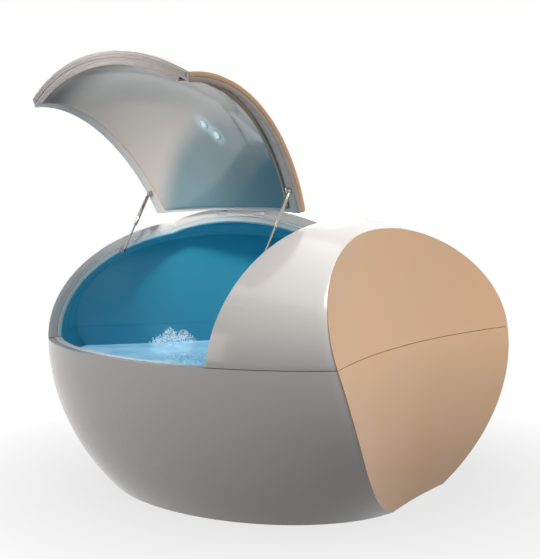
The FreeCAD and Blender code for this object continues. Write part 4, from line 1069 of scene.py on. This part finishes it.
STRUT_TUBE_RADIUS = 0.009
STRUT_TUBE_WALL = 0.0015
STRUT_TUBE_START = 0.014
STRUT_GROOVE = 0.0006
STRUT_ROD_RADIUS = 0.0045
STRUT_PLAY = 0.0002
STRUT_EYE_THICK = 0.012
STRUT_EYE_RADIUS = 0.009
STRUT_SOCKET_RADIUS = 0.0085
STRUT_EDGE = 0.001                  # by which the eye's and the socket's edges are broken
STRUT_NECK = 0.0052
STRUT_NECK_START = 0.006
STRUT_PLUG = 0.006                  # thickness of the tube's closed end
STRUT_GUIDE = 0.0055                # length of the guide in its open end
STRUT_PISTON_PLAY = 0.0003
STRUT_COLLAR = 0.0025               # how far the collar stands out from the rod
STRUT_SLEEVE = 0.001                # and the socket's neck
PIN_BORE = 0.0041
ACROSS = Vector((1, 0, 0))


def polished(name, colour, roughness, scratch=0.00003, stretch=(1.0, 1.0, 1.0)):
    """Polished or brushed metal: fine scratches and slightly uneven gloss."""
    material, tree, shader = new_finish(name)
    dull = tuple(channel * 0.86 for channel in colour)
    feed(shader, {"Base Color": cloud(tree, dull, colour, scale=25.0, detail=5.0),
                  "Roughness": uneven(tree, roughness, most=1.6, scale=60.0, detail=6.0),
                  "Normal": grain(tree, scratch, scale=700.0, detail=3.0, stretch=stretch),
                  "Metallic": 1.0})
    return material


chrome = polished("strut_chrome", (0.46, 0.43, 0.39), roughness=0.10)
joints = {joint["name"]: joint for joint in frame["joints"]}
for sign, hand in HANDS:
    pivot = Vector(joints[f"strut_tube_{hand}_turn"]["pos_m"])
    down = -Vector(joints[f"strut_rod_{hand}_slide"]["axis"])
    tube_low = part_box(f"strut_tube_{hand}")[0]
    rod_low, rod_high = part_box(f"strut_rod_{hand}")
    foot = Vector((pivot.x, rod_low.y + STRUT_SOCKET_RADIUS, rod_low.z + STRUT_SOCKET_RADIUS))
    start, radius, inner = STRUT_TUBE_START, STRUT_TUBE_RADIUS, STRUT_TUBE_RADIUS - STRUT_TUBE_WALL
    end = (pivot.z - tube_low.z) / -down.z - radius * -down.y / -down.z
    guide, groove = STRUT_ROD_RADIUS + STRUT_PLAY, radius - STRUT_GROOVE
    tube_profile = [
        (0, start), (0.0055, start), (0.0078, start + 0.0012), (radius, start + 0.004), (radius, end - 0.008),
        (groove, end - 0.007), (groove, end - 0.006), (radius, end - 0.005), (radius, end - 0.002),
        (radius - 0.002, end), (guide, end), (guide, end - STRUT_GUIDE), (inner, end - STRUT_GUIDE),
        (inner, start + STRUT_PLUG), (0, start + STRUT_PLUG)]
    half, eye = STRUT_EYE_THICK / 2, STRUT_EYE_RADIUS
    eye_profile = [(PIN_BORE, -half), (eye - 0.0008, -half), (eye, -half + STRUT_EDGE),
                   (eye, half - STRUT_EDGE), (eye - 0.0008, half), (PIN_BORE, half), (PIN_BORE, -half)]
    neck_profile = [(0, STRUT_NECK_START), (STRUT_NECK, STRUT_NECK_START),
                    (STRUT_NECK, start + 0.001), (0, start + 0.001)]
    strut_tube = joined(lathe(tube_profile, pivot, down), lathe(eye_profile, pivot, ACROSS, segments=48),
                        lathe(neck_profile, pivot, down, segments=32))
    make_piece(strut_tube, f"strut_cylinder_{hand}", chrome, f"strut_tube_{hand}", "strut_chrome",
               f"strut_tube_{hand}")
    end = (foot - pivot).length
    head = end - (rod_high.z - foot.z) / -down.z
    piston, radius = inner - STRUT_PISTON_PLAY, STRUT_ROD_RADIUS
    collar, sleeve = radius + STRUT_COLLAR, radius + STRUT_SLEEVE
    rod_profile = [
        (0, head + 0.003), (piston - 0.0003, head + 0.003), (piston, head + 0.0036), (piston, head + 0.009),
        (radius, head + 0.0095), (radius, end - 0.017), (radius + 0.0018, end - 0.0165),
        (collar, end - 0.0155), (collar, end - 0.009), (sleeve, end - 0.0075), (sleeve, end - 0.003),
        (0, end - 0.003)]
    half, socket = half + STRUT_EDGE, STRUT_SOCKET_RADIUS
    socket_profile = [(0, -half), (socket - STRUT_EDGE, -half), (socket, -half + STRUT_EDGE),
                      (socket, half - STRUT_EDGE), (socket - STRUT_EDGE, half), (0, half)]
    strut_rod = joined(lathe(rod_profile, pivot, down, segments=48),
                       lathe(socket_profile, foot, ACROSS, segments=48))
    make_piece(strut_rod, f"strut_plunger_{hand}", chrome, f"strut_rod_{hand}", "strut_chrome",
               f"strut_rod_{hand}")

# ------------------------------------------------------------------ lamps in the lid lining
# Two small round lamps let into the lining: a turned ring of satin stainless steel, and a frosted
# lens pressed into it that glows pale blue.

LAMP_RING_RADIUS = 0.026
LAMP_RING_SEAT = 0.0012
LAMP_RING_PLAY = 0.0005
LAMP_LENS_PLAY = 0.0004
LAMP_LENS_BACK = -0.0078


def glowing(name, colour, strength):
    """A frosted lens lit from behind, very finely mottled."""
    material, tree, shader = new_finish(name)
    feed(shader, {"Base Color": cloud(tree, colour, (0.9, 1.0, 1.0), scale=300.0, detail=2.0),
                  "Emission Color": cloud(tree, colour, (0.8, 1.0, 1.0), scale=90.0, detail=2.0),
                  "Emission Strength": strength, "Roughness": 0.28})
    return material


satin_steel = polished("satin_steel", (0.66, 0.67, 0.68), roughness=0.24)
cool_glow = glowing("cool_glow", (0.42, 0.83, 0.90), strength=0.42)
bore, seat, outer = LAMP_RING_BORE, LAMP_RING_SEAT, LAMP_RING_RADIUS - LAMP_RING_PLAY
glass = bore - LAMP_LENS_PLAY
ring_profile = [(bore, seat), (bore, 0.0040), (bore + 0.0015, 0.0052), (LAMP_RING_RADIUS - 0.003, 0.0050),
                (outer, 0.0030), (outer, seat), (bore, seat)]
lens_profile = [(0, LAMP_LENS_BACK), (glass, LAMP_LENS_BACK), (glass, seat), (glass * 0.8, 0.0022),
                (glass * 0.45, 0.0027), (0, 0.0029)]
lid_rings = joined(*[lathe(ring_profile, *lamp) for lamp in lid_lamps])
lid_lenses = joined(*[lathe(lens_profile, *lamp) for lamp in lid_lamps])
make_lid_piece(lid_rings, "lid_lamp_bezels", satin_steel, "stainless", "lid_lamp_rings")
make_lid_piece(lid_lenses, "lid_lamp_glass", cool_glow, "lamp_lens", "lid_lamp_lenses")

# ------------------------------------------------------------------ hinges and strut brackets
# Cast and turned stainless fittings: fixed leaves and pins on the canopy, flaps and cheeks on the
# lid. Their edges are broken by tumbling.

FLAT_TURN = math.radians(1)         # triangles that turn less than this are one face
FACET_TURN = math.radians(38)       # edges that turn more than this are rounded


def refined(node, width):
    """A CAD node's mesh with its triangles joined into faces and its edges rounded."""
    bm = bmesh.new()
    bm.from_mesh(frame["nodes"][node].data)
    bmesh.ops.remove_doubles(bm, verts=bm.verts, dist=WELD / 2)
    bmesh.ops.dissolve_limit(bm, angle_limit=FLAT_TURN, verts=bm.verts, edges=bm.edges)
    round_edges(bm, width, FACET_TURN, segments=2)
    return bm


def make_fitting(node, name, finish, slot, width, body="tank"):
    """A piece that has its CAD node's own shape, with broken edges."""
    make_piece(refined(node, width), name, finish, body, slot, node)


brushed_steel = polished("brushed_steel", (0.60, 0.61, 0.62), roughness=0.28, scratch=0.00006,
                         stretch=(0.06, 1.0, 1.0))
for _, hand in HANDS:
    for fitting, body in (("hinge_base", "tank"), ("hinge_flap", "lid"), ("hinge_pin", "tank"),
                          ("strut_bracket_upper", "lid"), ("strut_bracket_lower", "tank")):
        make_fitting(f"{fitting}_{hand}", f"{fitting}_cast_{hand}", brushed_steel, "stainless",
                     width=0.0005, body=body)

# ------------------------------------------------------------------ lamps in the basin
# A turned stainless bezel with its can through the wall on each side, and a thick glass lens held
# in it under the water.

LAMP_SEAT = 0.0016
LAMP_FACE = LAMP_SEAT + 0.006
LAMP_FLANGE = 0.060
LAMP_CAN = 0.044
LAMP_DEPTH = 0.028
LAMP_STEPS = 96


def lamp_glass(name):
    """Thick pressed glass with faint flow lines."""
    material, tree, shader = new_finish(name)
    feed(shader, {"Base Color": cloud(tree, (0.72, 0.90, 0.94), (0.85, 0.97, 1.0), scale=30.0, detail=3.0),
                  "Normal": grain(tree, depth=0.0004, scale=120.0),
                  "Roughness": 0.06, "Transmission Weight": 0.75, "IOR": 1.5})
    return material


def flank_pair(fitting, profile, segments=64):
    """A turned fitting in its bore in both flanks."""
    return joined(*[lathe(profile, *flank_axes[fitting, side], segments) for side, _ in HANDS])


inner, glass = LAMP_CAN - 0.004, LAMP_CAN - 0.0045
bezel_profile = [(inner, -0.002), (inner, LAMP_FACE - 0.003), (LAMP_CAN - 0.002, LAMP_FACE),
                 (LAMP_FLANGE - 0.003, LAMP_FACE), (LAMP_FLANGE, LAMP_FACE - 0.003), (LAMP_FLANGE, LAMP_SEAT),
                 (LAMP_CAN, LAMP_SEAT), (LAMP_CAN, -LAMP_DEPTH + 0.002), (LAMP_CAN - 0.002, -LAMP_DEPTH),
                 (0, -LAMP_DEPTH), (0, -0.0020)]
glass_profile = [(0, -0.0019), (glass, -0.0019), (glass, 0.0035), (glass - 0.004, 0.0046),
                 (glass * 0.5, 0.0050), (0, 0.0050)]
lamp_bezels = flank_pair("lamp", bezel_profile, LAMP_STEPS)
lamp_lenses = flank_pair("lamp", glass_profile, LAMP_STEPS)
make_piece(lamp_bezels, "basin_lamp_bezels", satin_steel, "tank", "stainless", "lamp_bezels")
make_piece(lamp_lenses, "basin_lamp_glass", lamp_glass("pressed_glass"), "tank", "lamp_lens", "lamp_lenses")

# ------------------------------------------------------------------ water return nozzles
# Turned stainless jets, pushed through the basin's wall towards the tail and held by three screws
# each. The filtered water comes back into the bath through them.

NOZZLE_RADIUS = 0.032
NOZZLE_BORE = 0.019
NOZZLE_SHANK = NOZZLE_BORE + 0.0045
NOZZLE_FACE = 0.0066
NOZZLE_END = -0.030
FLANGE_SEAT = 0.0006                # a small flange's back stands this far off the skin

jet_profile = [(NOZZLE_BORE, NOZZLE_END), (NOZZLE_BORE, 0.004), (NOZZLE_BORE + 0.0025, 0.0064),
               (NOZZLE_RADIUS - 0.004, NOZZLE_FACE), (NOZZLE_RADIUS, 0.003), (NOZZLE_RADIUS, FLANGE_SEAT),
               (NOZZLE_SHANK, FLANGE_SEAT), (NOZZLE_SHANK, -0.029), (NOZZLE_SHANK - 0.001, NOZZLE_END),
               (NOZZLE_BORE, NOZZLE_END)]
jets = flank_pair("nozzle", jet_profile)
make_piece(jets, "return_jets", satin_steel, "tank", "stainless", "return_nozzles")

# ------------------------------------------------------------------ light and call buttons
# A white moulded housing in each side of the basin above the water, with a domed cap that is
# pressed with the fingertips.

BUTTON_RADIUS = 0.019
BUTTON_BEZEL = 0.028
BUTTON_FACE = 0.0054
BUTTON_BACK = -0.022
BUTTON_FLOOR = -0.0158
BUTTON_SLEEVE = BUTTON_RADIUS + 0.0035
BUTTON_TRAVEL = 0.004
CAP_RADIUS = BUTTON_RADIUS - 0.0005
CAP_CROWN = BUTTON_TRAVEL + 0.006
CAP_FOOT = BUTTON_TRAVEL - 0.0118


def moulded(name, colour, roughness=0.3):
    """Injection-moulded plastic with a fine spark texture."""
    material, tree, shader = new_finish(name)
    faint = tuple(channel * 0.93 for channel in colour)
    feed(shader, {"Base Color": cloud(tree, faint, colour, scale=12.0, detail=3.0),
                  "Normal": grain(tree, depth=0.00006, scale=500.0), "Roughness": roughness})
    return material


white_moulding = moulded("white_moulding", (0.80, 0.82, 0.82))
teal_cap = moulded("teal_cap", (0.10, 0.38, 0.46))
housing_profile = [(0, BUTTON_FLOOR), (BUTTON_RADIUS, BUTTON_FLOOR), (BUTTON_RADIUS, BUTTON_FACE - 0.001),
                   (BUTTON_RADIUS + 0.001, BUTTON_FACE), (BUTTON_BEZEL - 0.0035, BUTTON_FACE),
                   (BUTTON_BEZEL, 0.0022), (BUTTON_BEZEL, FLANGE_SEAT), (BUTTON_SLEEVE, FLANGE_SEAT),
                   (BUTTON_SLEEVE, BUTTON_BACK + 0.001), (BUTTON_SLEEVE - 0.001, BUTTON_BACK),
                   (0, BUTTON_BACK)]
cap_profile = [(0, CAP_FOOT), (CAP_RADIUS, CAP_FOOT), (CAP_RADIUS, CAP_CROWN - 0.0035),
               (CAP_RADIUS - 0.0008, CAP_CROWN - 0.0022), (CAP_RADIUS * 0.8, CAP_CROWN - 0.0012),
               (CAP_RADIUS * 0.66, CAP_CROWN - 0.0010), (CAP_RADIUS * 0.6, CAP_CROWN - 0.0016),
               (CAP_RADIUS * 0.35, CAP_CROWN - 0.0022), (0, CAP_CROWN - 0.0025)]
for (side, _), use in zip(HANDS, ("light", "call")):
    axis = flank_axes["button", side]
    make_piece(lathe(housing_profile, *axis), f"{use}_button_bezel", white_moulding, "tank", "fitting_white",
               f"{use}_button_housing")
    make_piece(lathe(cap_profile, *axis), f"{use}_button_cap", teal_cap, f"{use}_button", "button_cap",
               f"{use}_button")

# ------------------------------------------------------------------ drain
# A grey moulded cup clamped through the basin's floor with a ring nut, under a stainless cover
# whose radial slots let the water out.

grey_moulding = moulded("grey_moulding", (0.30, 0.31, 0.33), roughness=0.4)
make_fitting("drain_body", "drain_cup", grey_moulding, "pipe_grey", width=0.0008)
make_fitting("drain_cover", "drain_grating", brushed_steel, "stainless", width=0.0009)

# ------------------------------------------------------------------ air vent in the tail
# A white moulded sleeve through both skins, which lets stale air out. The louvred flange on each
# of its ends is curved to sit on the skin.

make_fitting("vent_sleeve", "vent_tube", white_moulding, "fitting_white", width=0.0005)
for skin in ("outer", "inner"):
    make_fitting(f"vent_grille_{skin}", f"vent_louvres_{skin}", white_moulding, "fitting_white", width=0.0007)

# ------------------------------------------------------------------ pipe recess and unions
# A white moulded tray let into the tail near the floor. The supply and return hoses push over the
# two grey moulded pipe unions that stand in it.

make_fitting("pipe_recess", "pipe_tray", white_moulding, "fitting_white", width=0.0015)
for union in ("supply", "return"):
    make_fitting(f"{union}_union", f"{union}_pipe_end", grey_moulding, "pipe_grey", width=0.0012)

# ------------------------------------------------------------------ screws
# Pan-head screws hold the lamp bezels, jets, button housings and the drain's cover. One nodes
# tree sets a head on every marked place.

SCREW_RADIUS = 0.0026
SCREW_RECESS = 0.45                 # share of the head's radius
LAMP_SCREWS = (0.0515, 6)           # radius of the ring of screws, and how many
NOZZLE_SCREWS = (0.0255, 3, 0.5)    # and the turn of the first
BUTTON_SCREWS = (0.0228, 3, 0.5)
DRAIN_SCREWS = (0.056, 3, math.radians(15))


def new_tree(name, inputs):
    """An empty nodes tree with named inputs, and the sockets that bring them in."""
    tree = bpy.data.node_groups.new(name, "GeometryNodeTree")
    for label, kind in inputs.items():
        tree.interface.new_socket(label, in_out="INPUT", socket_type=f"NodeSocket{kind}")
    return tree, tree.nodes.new("NodeGroupInput").outputs


def end_tree(tree, output, instances, finish):
    """Set instances on points, make them real, give them their finish and let them out."""
    placed = add_node(tree, "GeometryNodeInstanceOnPoints", "Instances", instances)
    real = add_node(tree, "GeometryNodeRealizeInstances", "Geometry", {"Geometry": placed})
    finished = add_node(tree, "GeometryNodeSetMaterial", "Geometry", {"Geometry": real, "Material": finish})
    tree.interface.new_socket(output, in_out="OUTPUT", socket_type="NodeSocketGeometry")
    feed(tree.nodes.new("NodeGroupOutput"), {output: finished})
    return tree


def grown(holder, tree, inputs):
    """The plain mesh that a nodes tree makes on an object, which is then taken away."""
    maker = holder.modifiers.new(tree.name, "NODES")
    maker.node_group = tree
    for item in tree.interface.items_tree:
        if item.in_out == "INPUT" and item.name in inputs:
            maker[item.identifier] = inputs[item.name]
    bpy.context.view_layer.update()
    plain = bpy.data.meshes.new_from_object(holder.evaluated_get(bpy.context.evaluated_depsgraph_get()))
    bm = bmesh.new()
    bm.from_mesh(plain)
    holder.modifiers.clear()
    bpy.data.objects.remove(holder)
    return bm


def screw_head():
    """A pan head of unit radius with a round driver recess."""
    profile = [(0, 0.12), (SCREW_RECESS, 0.12), (SCREW_RECESS, 0.50), (0.62, 0.52), (0.82, 0.42),
               (0.96, 0.22), (1.0, 0.0), (0, 0.0)]
    return as_object(lathe(profile, (0, 0, 0), UP, segments=20), "screw_head")


def screw_tree():
    """Sets a head on each point of a mesh, turned to the point's own direction."""
    tree, given = new_tree("set_screws", {"Places": "Geometry", "Head": "Object", "Head Radius": "Float",
                                          "Finish": "Material"})
    head = add_node(tree, "GeometryNodeObjectInfo", "Geometry", {"Object": given["Head"]})
    direction = add_node(tree, "GeometryNodeInputNamedAttribute", "Attribute", {"Name": "facing"},
                         data_type="FLOAT_VECTOR")
    turned = add_node(tree, "FunctionNodeAlignRotationToVector", "Rotation", {"Vector": direction}, axis="Z")
    return end_tree(tree, "Screws", {"Points": given["Places"], "Instance": head, "Rotation": turned,
                                     "Scale": given["Head Radius"]}, given["Finish"])


def ring_of(place, direction, radius, count, start=0.0):
    """Evenly spaced places round an axis, each with the axis as its direction."""
    turned = UP.rotation_difference(direction).to_matrix()
    turns = [start + 2 * math.pi * step / count for step in range(count)]
    return [(place + turned @ Vector((radius * math.cos(turn), radius * math.sin(turn), 0)), direction)
            for turn in turns]


marked = []
for side, _ in HANDS:
    for fitting, face, ring in (("lamp", LAMP_FACE, LAMP_SCREWS), ("nozzle", NOZZLE_FACE, NOZZLE_SCREWS),
                                ("button", BUTTON_FACE, BUTTON_SCREWS)):
        spot, inward = flank_axes[fitting, side]
        marked += ring_of(spot + inward * face, inward, *ring)
marked += ring_of(Vector((*drain_middle.xy, drain_high.z)), UP, *DRAIN_SCREWS)
screw_places = bpy.data.meshes.new("screw_places")
screw_places.from_pydata([tuple(place_marked) for place_marked, _ in marked], [], [])
facing = screw_places.attributes.new("facing", "FLOAT_VECTOR", "POINT")
for index, (_, direction) in enumerate(marked):
    facing.data[index].vector = direction
pan_head = screw_head()
screws = grown(add_object("screw_places", screw_places), screw_tree(),
               {"Head": pan_head, "Head Radius": SCREW_RADIUS, "Finish": satin_steel})
bpy.data.objects.remove(pan_head)
make_piece(screws, "fixing_screws", satin_steel, "tank", "stainless")

# ------------------------------------------------------------------ under-frame
# Rubber-footed levelling screws carry two box sleepers, three cross beams and a plywood deck, on
# which a foam block and the heating mats lie under the basin.


def plywood(name):
    """Sealed birch plywood with long grain."""
    material, tree, shader = new_finish(name)
    fibres = noise(tree, scale=22.0, detail=6.0, stretch=(1.0, 0.06, 1.0))
    feed(shader, {"Base Color": ramp(tree, fibres, (0.42, 0.29, 0.17), (0.60, 0.45, 0.29)),
                  "Normal": bump(tree, fibres, depth=0.0006), "Roughness": 0.5})
    return material


def cellular(name, colour, cell):
    """Cut foam: pressed beads or cells."""
    material, tree, shader = new_finish(name)
    beads = add_node(tree, "ShaderNodeTexVoronoi", "Distance", {"Vector": own_place(tree), "Scale": cell})
    dark = tuple(channel * 0.82 for channel in colour)
    feed(shader, {"Base Color": ramp(tree, beads, colour, dark, start=0.2, end=0.9),
                  "Normal": bump(tree, beads, depth=-0.0008), "Roughness": 0.85})
    return material


mill_aluminium = polished("mill_aluminium", (0.62, 0.63, 0.64), roughness=0.36, scratch=0.00008,
                          stretch=(1.0, 0.05, 1.0))
black_rubber = rubber("black_rubber", (0.02, 0.02, 0.021))
silicone_mat = rubber("silicone_mat", (0.42, 0.10, 0.05), grit=350.0)
bead_foam = cellular("bead_foam", (0.82, 0.82, 0.80), cell=160.0)
make_fitting("levelling_feet", "levelling_screws", black_rubber, "foot_rubber", width=0.0012)
make_fitting("base_sleepers", "sleeper_bars", mill_aluminium, "frame_metal", width=0.002)
make_fitting("cross_beams", "beam_bars", mill_aluminium, "frame_metal", width=0.002)
make_fitting("support_deck", "deck_panel", plywood("birch_plywood"), "deck_board", width=0.0015)
make_fitting("basin_foam_block", "foam_bed", bead_foam, "foam", width=0.003)
make_fitting("heating_mats", "heater_pads", silicone_mat, "heater_mat", width=0.0004)

# ------------------------------------------------------------------ water
# The bath's surface, still but for a few ripples and a drift of specks. It isn't a part of the
# tank, but the tank is shown filled.

WATER_RISE = -0.108                 # below the seam
WATER_DEPTH = 0.012
WATER_EDGE = LINING_INSET + 0.0008
WATER_RINGS = 12
SPECKS_PLACE = (-0.16, -0.47, 0.611)
SPECKS_FADE = (0.10, 0.30)          # distances between which the specks thin out

water_rises = np.array([WATER_RISE, WATER_RISE - WATER_DEPTH])
water_top, water_under = body_rows(water_rises, WATER_EDGE, drop=BOWL_DROP)
water_rows = (towards_middle(water_top, np.linspace(0, 1, WATER_RINGS))
              + towards_middle(water_under, np.linspace(1, 0, WATER_RINGS)))
water = sheet(np.array(water_rows), True)
bmesh.ops.recalc_face_normals(water, faces=water.faces)


def salt_water(name):
    """Pale water with a painted glow for the basin lamps' light: slow ripples, and dark specks that float in
    one place.
    """
    material, tree, shader = new_finish(name)
    away = measured(tree, "DISTANCE", own_place(tree), SPECKS_PLACE)
    near = ramp(tree, away, (1, 1, 1), (0, 0, 0), *SPECKS_FADE)
    strewn = ramp(tree, noise(tree, scale=70.0, detail=8.0), (0, 0, 0), (1, 1, 1), start=0.54, end=0.60)
    specks = combined(tree, "MULTIPLY", near, strewn)
    clear = cloud(tree, (0.30, 0.62, 0.84), (0.46, 0.77, 0.95), scale=6.0, detail=4.0)
    colour = covered(tree, specks, clear, (0.06, 0.22, 0.27, 1))
    # the emission is a painted glow standing in for the lamps' light in the water
    feed(shader, {"Base Color": colour, "Emission Color": colour, "Emission Strength": 0.45,
                  "Normal": bump(tree, specks, depth=0.006, under=grain(tree, depth=0.004, scale=9.0)),
                  "Roughness": 0.08, "IOR": 1.34})
    return material


make_piece(water, "bath_water", salt_water("salt_water"), "tank", None)

# ------------------------------------------------------------------ froth
# A splash where a jet comes up beside the wall: drops and bubbles, strewn over a low heap by a
# nodes tree.

FROTH_MIDDLE = Vector((-0.684, -0.262, SEAM_HEIGHT + WATER_RISE))
FROTH_HEAP = (0.032, 0.108, 0.082)  # half lengths across and along the wall, and height
FROTH_SPREAD = 0.35                 # how much wider the heap is at its foot
FROTH_DRIFT = 0.30                  # how far its top is carried along the wall
FROTH_WAVES = (0.74, 0.26, 6.3, 1.9)        # its crests: height, depth, how close and where they start
FROTH_COUNT = 1500.0
FROTH_LARGEST = 0.0034
FROTH_LIFT = 0.017                  # how far drops fly off the heap
FROTH_FOOT = -0.02                  # the heap is cut off here, in shares of its size
PLACE_SEED, DRIFT_SEED, SIZE_SEED = 7, 11, 5


def heap():
    """The low dome that the drops lie over, drawn out to one side and wavy along its top."""
    bm = bmesh.new()
    bmesh.ops.create_icosphere(bm, subdivisions=4, radius=1.0)
    bmesh.ops.delete(bm, geom=[vert for vert in bm.verts if vert.co.z < FROTH_FOOT], context="VERTS")
    mean, swing, waves, start = FROTH_WAVES
    for vert in bm.verts:
        vert.co.y += FROTH_SPREAD * (1 - vert.co.z) * vert.co.y - FROTH_DRIFT * max(vert.co.z, 0.0)
        vert.co.z *= mean + swing * math.cos(waves * vert.co.y + start)
        vert.co = Vector(vert.co[axis] * FROTH_HEAP[axis] for axis in range(3)) + FROTH_MIDDLE
    return as_object(bm, "froth_heap")


def froth_tree():
    """Strews drops of mixed sizes over a mesh and lets them drift a little off it."""
    tree, given = new_tree("strew_drops", {"Heap": "Geometry", "Density": "Float", "Largest": "Float",
                                           "Drift": "Float", "Finish": "Material"})
    strewn = add_node(tree, "GeometryNodeDistributePointsOnFaces", "Points",
                      {"Mesh": given["Heap"], "Density": given["Density"], "Seed": PLACE_SEED})
    drop = add_node(tree, "GeometryNodeMeshIcoSphere", "Mesh", {"Subdivisions": 1})
    anywhere = add_node(tree, "FunctionNodeRandomValue", "Value",
                        {"Min": (-1, -1, -1), "Max": (1, 1, 1), "Seed": DRIFT_SEED}, data_type="FLOAT_VECTOR")
    drift = add_node(tree, "ShaderNodeVectorMath", "Vector", {0: anywhere, "Scale": given["Drift"]},
                     operation="SCALE")
    moved = add_node(tree, "GeometryNodeSetPosition", "Geometry", {"Geometry": strewn, "Offset": drift})
    # Output 1 and input 3 are the plain number and its upper limit.
    size = add_node(tree, "FunctionNodeRandomValue", 1, {3: given["Largest"], "Seed": SIZE_SEED})
    return end_tree(tree, "Drops", {"Points": moved, "Instance": drop, "Scale": size}, given["Finish"])


def foam_white(name):
    """Froth: white and wet, with a faint painted glow for light shining through it."""
    material, tree, shader = new_finish(name)
    tone = ramp(tree, noise(tree, scale=60.0, detail=3.0), (0.62, 0.80, 0.88), (0.93, 0.97, 0.99),
                start=0.3, end=0.6)
    # the emission is a painted glow for light shining through the froth
    feed(shader, {"Base Color": tone, "Emission Color": tone, "Emission Strength": 0.25, "Roughness": 0.12})
    return material


froth_finish = foam_white("froth_white")
froth_heap = heap()
heap_area = sum(face.area for face in froth_heap.data.polygons)
froth = grown(froth_heap, froth_tree(), {"Density": FROTH_COUNT / heap_area, "Largest": FROTH_LARGEST,
                                         "Drift": FROTH_LIFT, "Finish": froth_finish})
make_piece(froth, "bath_froth", froth_finish, "tank", None)

# ------------------------------------------------------------------ studio
# A pale floor and a white surround. Big soft boxes stand above, in front, at the side and behind,
# and a narrow one looks into the cabin.

FLOOR_HALF = 30.0
FLOOR_COLOUR = (0.05, 0.049, 0.048, 1)
FLOOR_EDGE = (0.9, 2.0)             # the floor turns from grey to white between these distances
FLOOR_NEAR = 0.78
WORLD_LIGHT = 0.15
CABIN_SPREAD = math.radians(16)
CAMERA_PLACE = Vector((3.742, -3.422, 1.3356))
CAMERA_TURN = math.radians(48.98)
CAMERA_PITCH = math.radians(3.943)
CAMERA_LENS = 64.40


def background_ray(tree):
    """1 for a ray that comes from the camera, or off metal or through glass."""
    rays = tree.nodes.new("ShaderNodeLightPath").outputs
    seen = rays["Is Camera Ray"]
    for kind in ("Is Glossy Ray", "Is Transmission Ray"):
        seen = combined(tree, "MAXIMUM", seen, rays[kind])
    return seen


def floor_paint(name):
    """A dull floor that shows as white further off, and nearly so beside the tank."""
    material, tree, shader = new_finish(name)
    feed(shader, {"Base Color": FLOOR_COLOUR, "Roughness": 0.9})
    white = fade(tree, measured(tree, "LENGTH", own_place(tree)), *FLOOR_EDGE, FLOOR_NEAR, 1.0, "LINEAR")
    shown = add_node(tree, "ShaderNodeEmission", "Emission", {"Color": (1, 1, 1, 1)})
    share = combined(tree, "MULTIPLY", background_ray(tree), white)
    surface = add_node(tree, "ShaderNodeMixShader", "Shader",
                       {"Fac": share, 1: shader.outputs["BSDF"], 2: shown})
    feed(tree.nodes["Material Output"], {"Surface": surface})
    return material


floor_mesh = bpy.data.meshes.new("studio_floor")
floor_corners = [(x * FLOOR_HALF, y * FLOOR_HALF, 0) for x, y in ((-1, -1), (1, -1), (1, 1), (-1, 1))]
floor_mesh.from_pydata(floor_corners, [], [(0, 1, 2, 3)])
floor_mesh.materials.append(floor_paint("studio_floor"))
add_object("studio_floor", floor_mesh)

world = bpy.data.worlds.new("studio")
bpy.context.scene.world = world
world.use_nodes = True
world_strength = fade(world.node_tree, background_ray(world.node_tree), 0.0, 1.0, WORLD_LIGHT, 1.0, "LINEAR")
feed(world.node_tree.nodes["Background"], {"Color": (1, 1, 1, 1), "Strength": world_strength})


def soft_box(name, place, aim, size, power, colour=(1, 1, 1)):
    """A square soft light."""
    lamp = bpy.data.lights.new(name, "AREA")
    lamp.shape = "SQUARE"
    lamp.size = size
    lamp.energy = power
    lamp.color = colour
    holder = add_object(name, lamp)
    holder.location = place
    holder.rotation_euler = (Vector(aim) - Vector(place)).to_track_quat("-Z", "Y").to_euler()
    return lamp


soft_box("top_light", (0.6, 0.2, 5.2), (0, 0, 0.8), size=5.5, power=108.0)
soft_box("key_light", (0.1, -5.5, 1.9), (0, 0, 0.8), size=2.6, power=49.0, colour=(1.0, 0.94, 0.88))
soft_box("side_light", (3.6, 1.3, 4.9), (0.6, 0, 0.9), size=2.4, power=165.0, colour=(1.0, 0.97, 0.93))
soft_box("cabin_light", (1.3, -4.2, 2.7), (-0.58, 0.10, 1.14), size=0.5, power=1.2,
         colour=(1.0, 0.98, 0.95)).spread = CABIN_SPREAD
soft_box("rear_light", (-4.2, 3.2, 3.4), (0, 0, 0.9), size=2.8, power=70.0)

camera = add_object("camera", bpy.data.cameras.new("camera"))
camera.data.lens = CAMERA_LENS
camera.location = CAMERA_PLACE
level_share = math.cos(CAMERA_PITCH)
looking = (-math.sin(CAMERA_TURN) * level_share, math.cos(CAMERA_TURN) * level_share, -math.sin(CAMERA_PITCH))
camera.rotation_euler = Vector(looking).to_track_quat("-Z", "Y").to_euler()
bpy.context.scene.camera = camera
bpy.context.scene.view_settings.view_transform = "Standard"
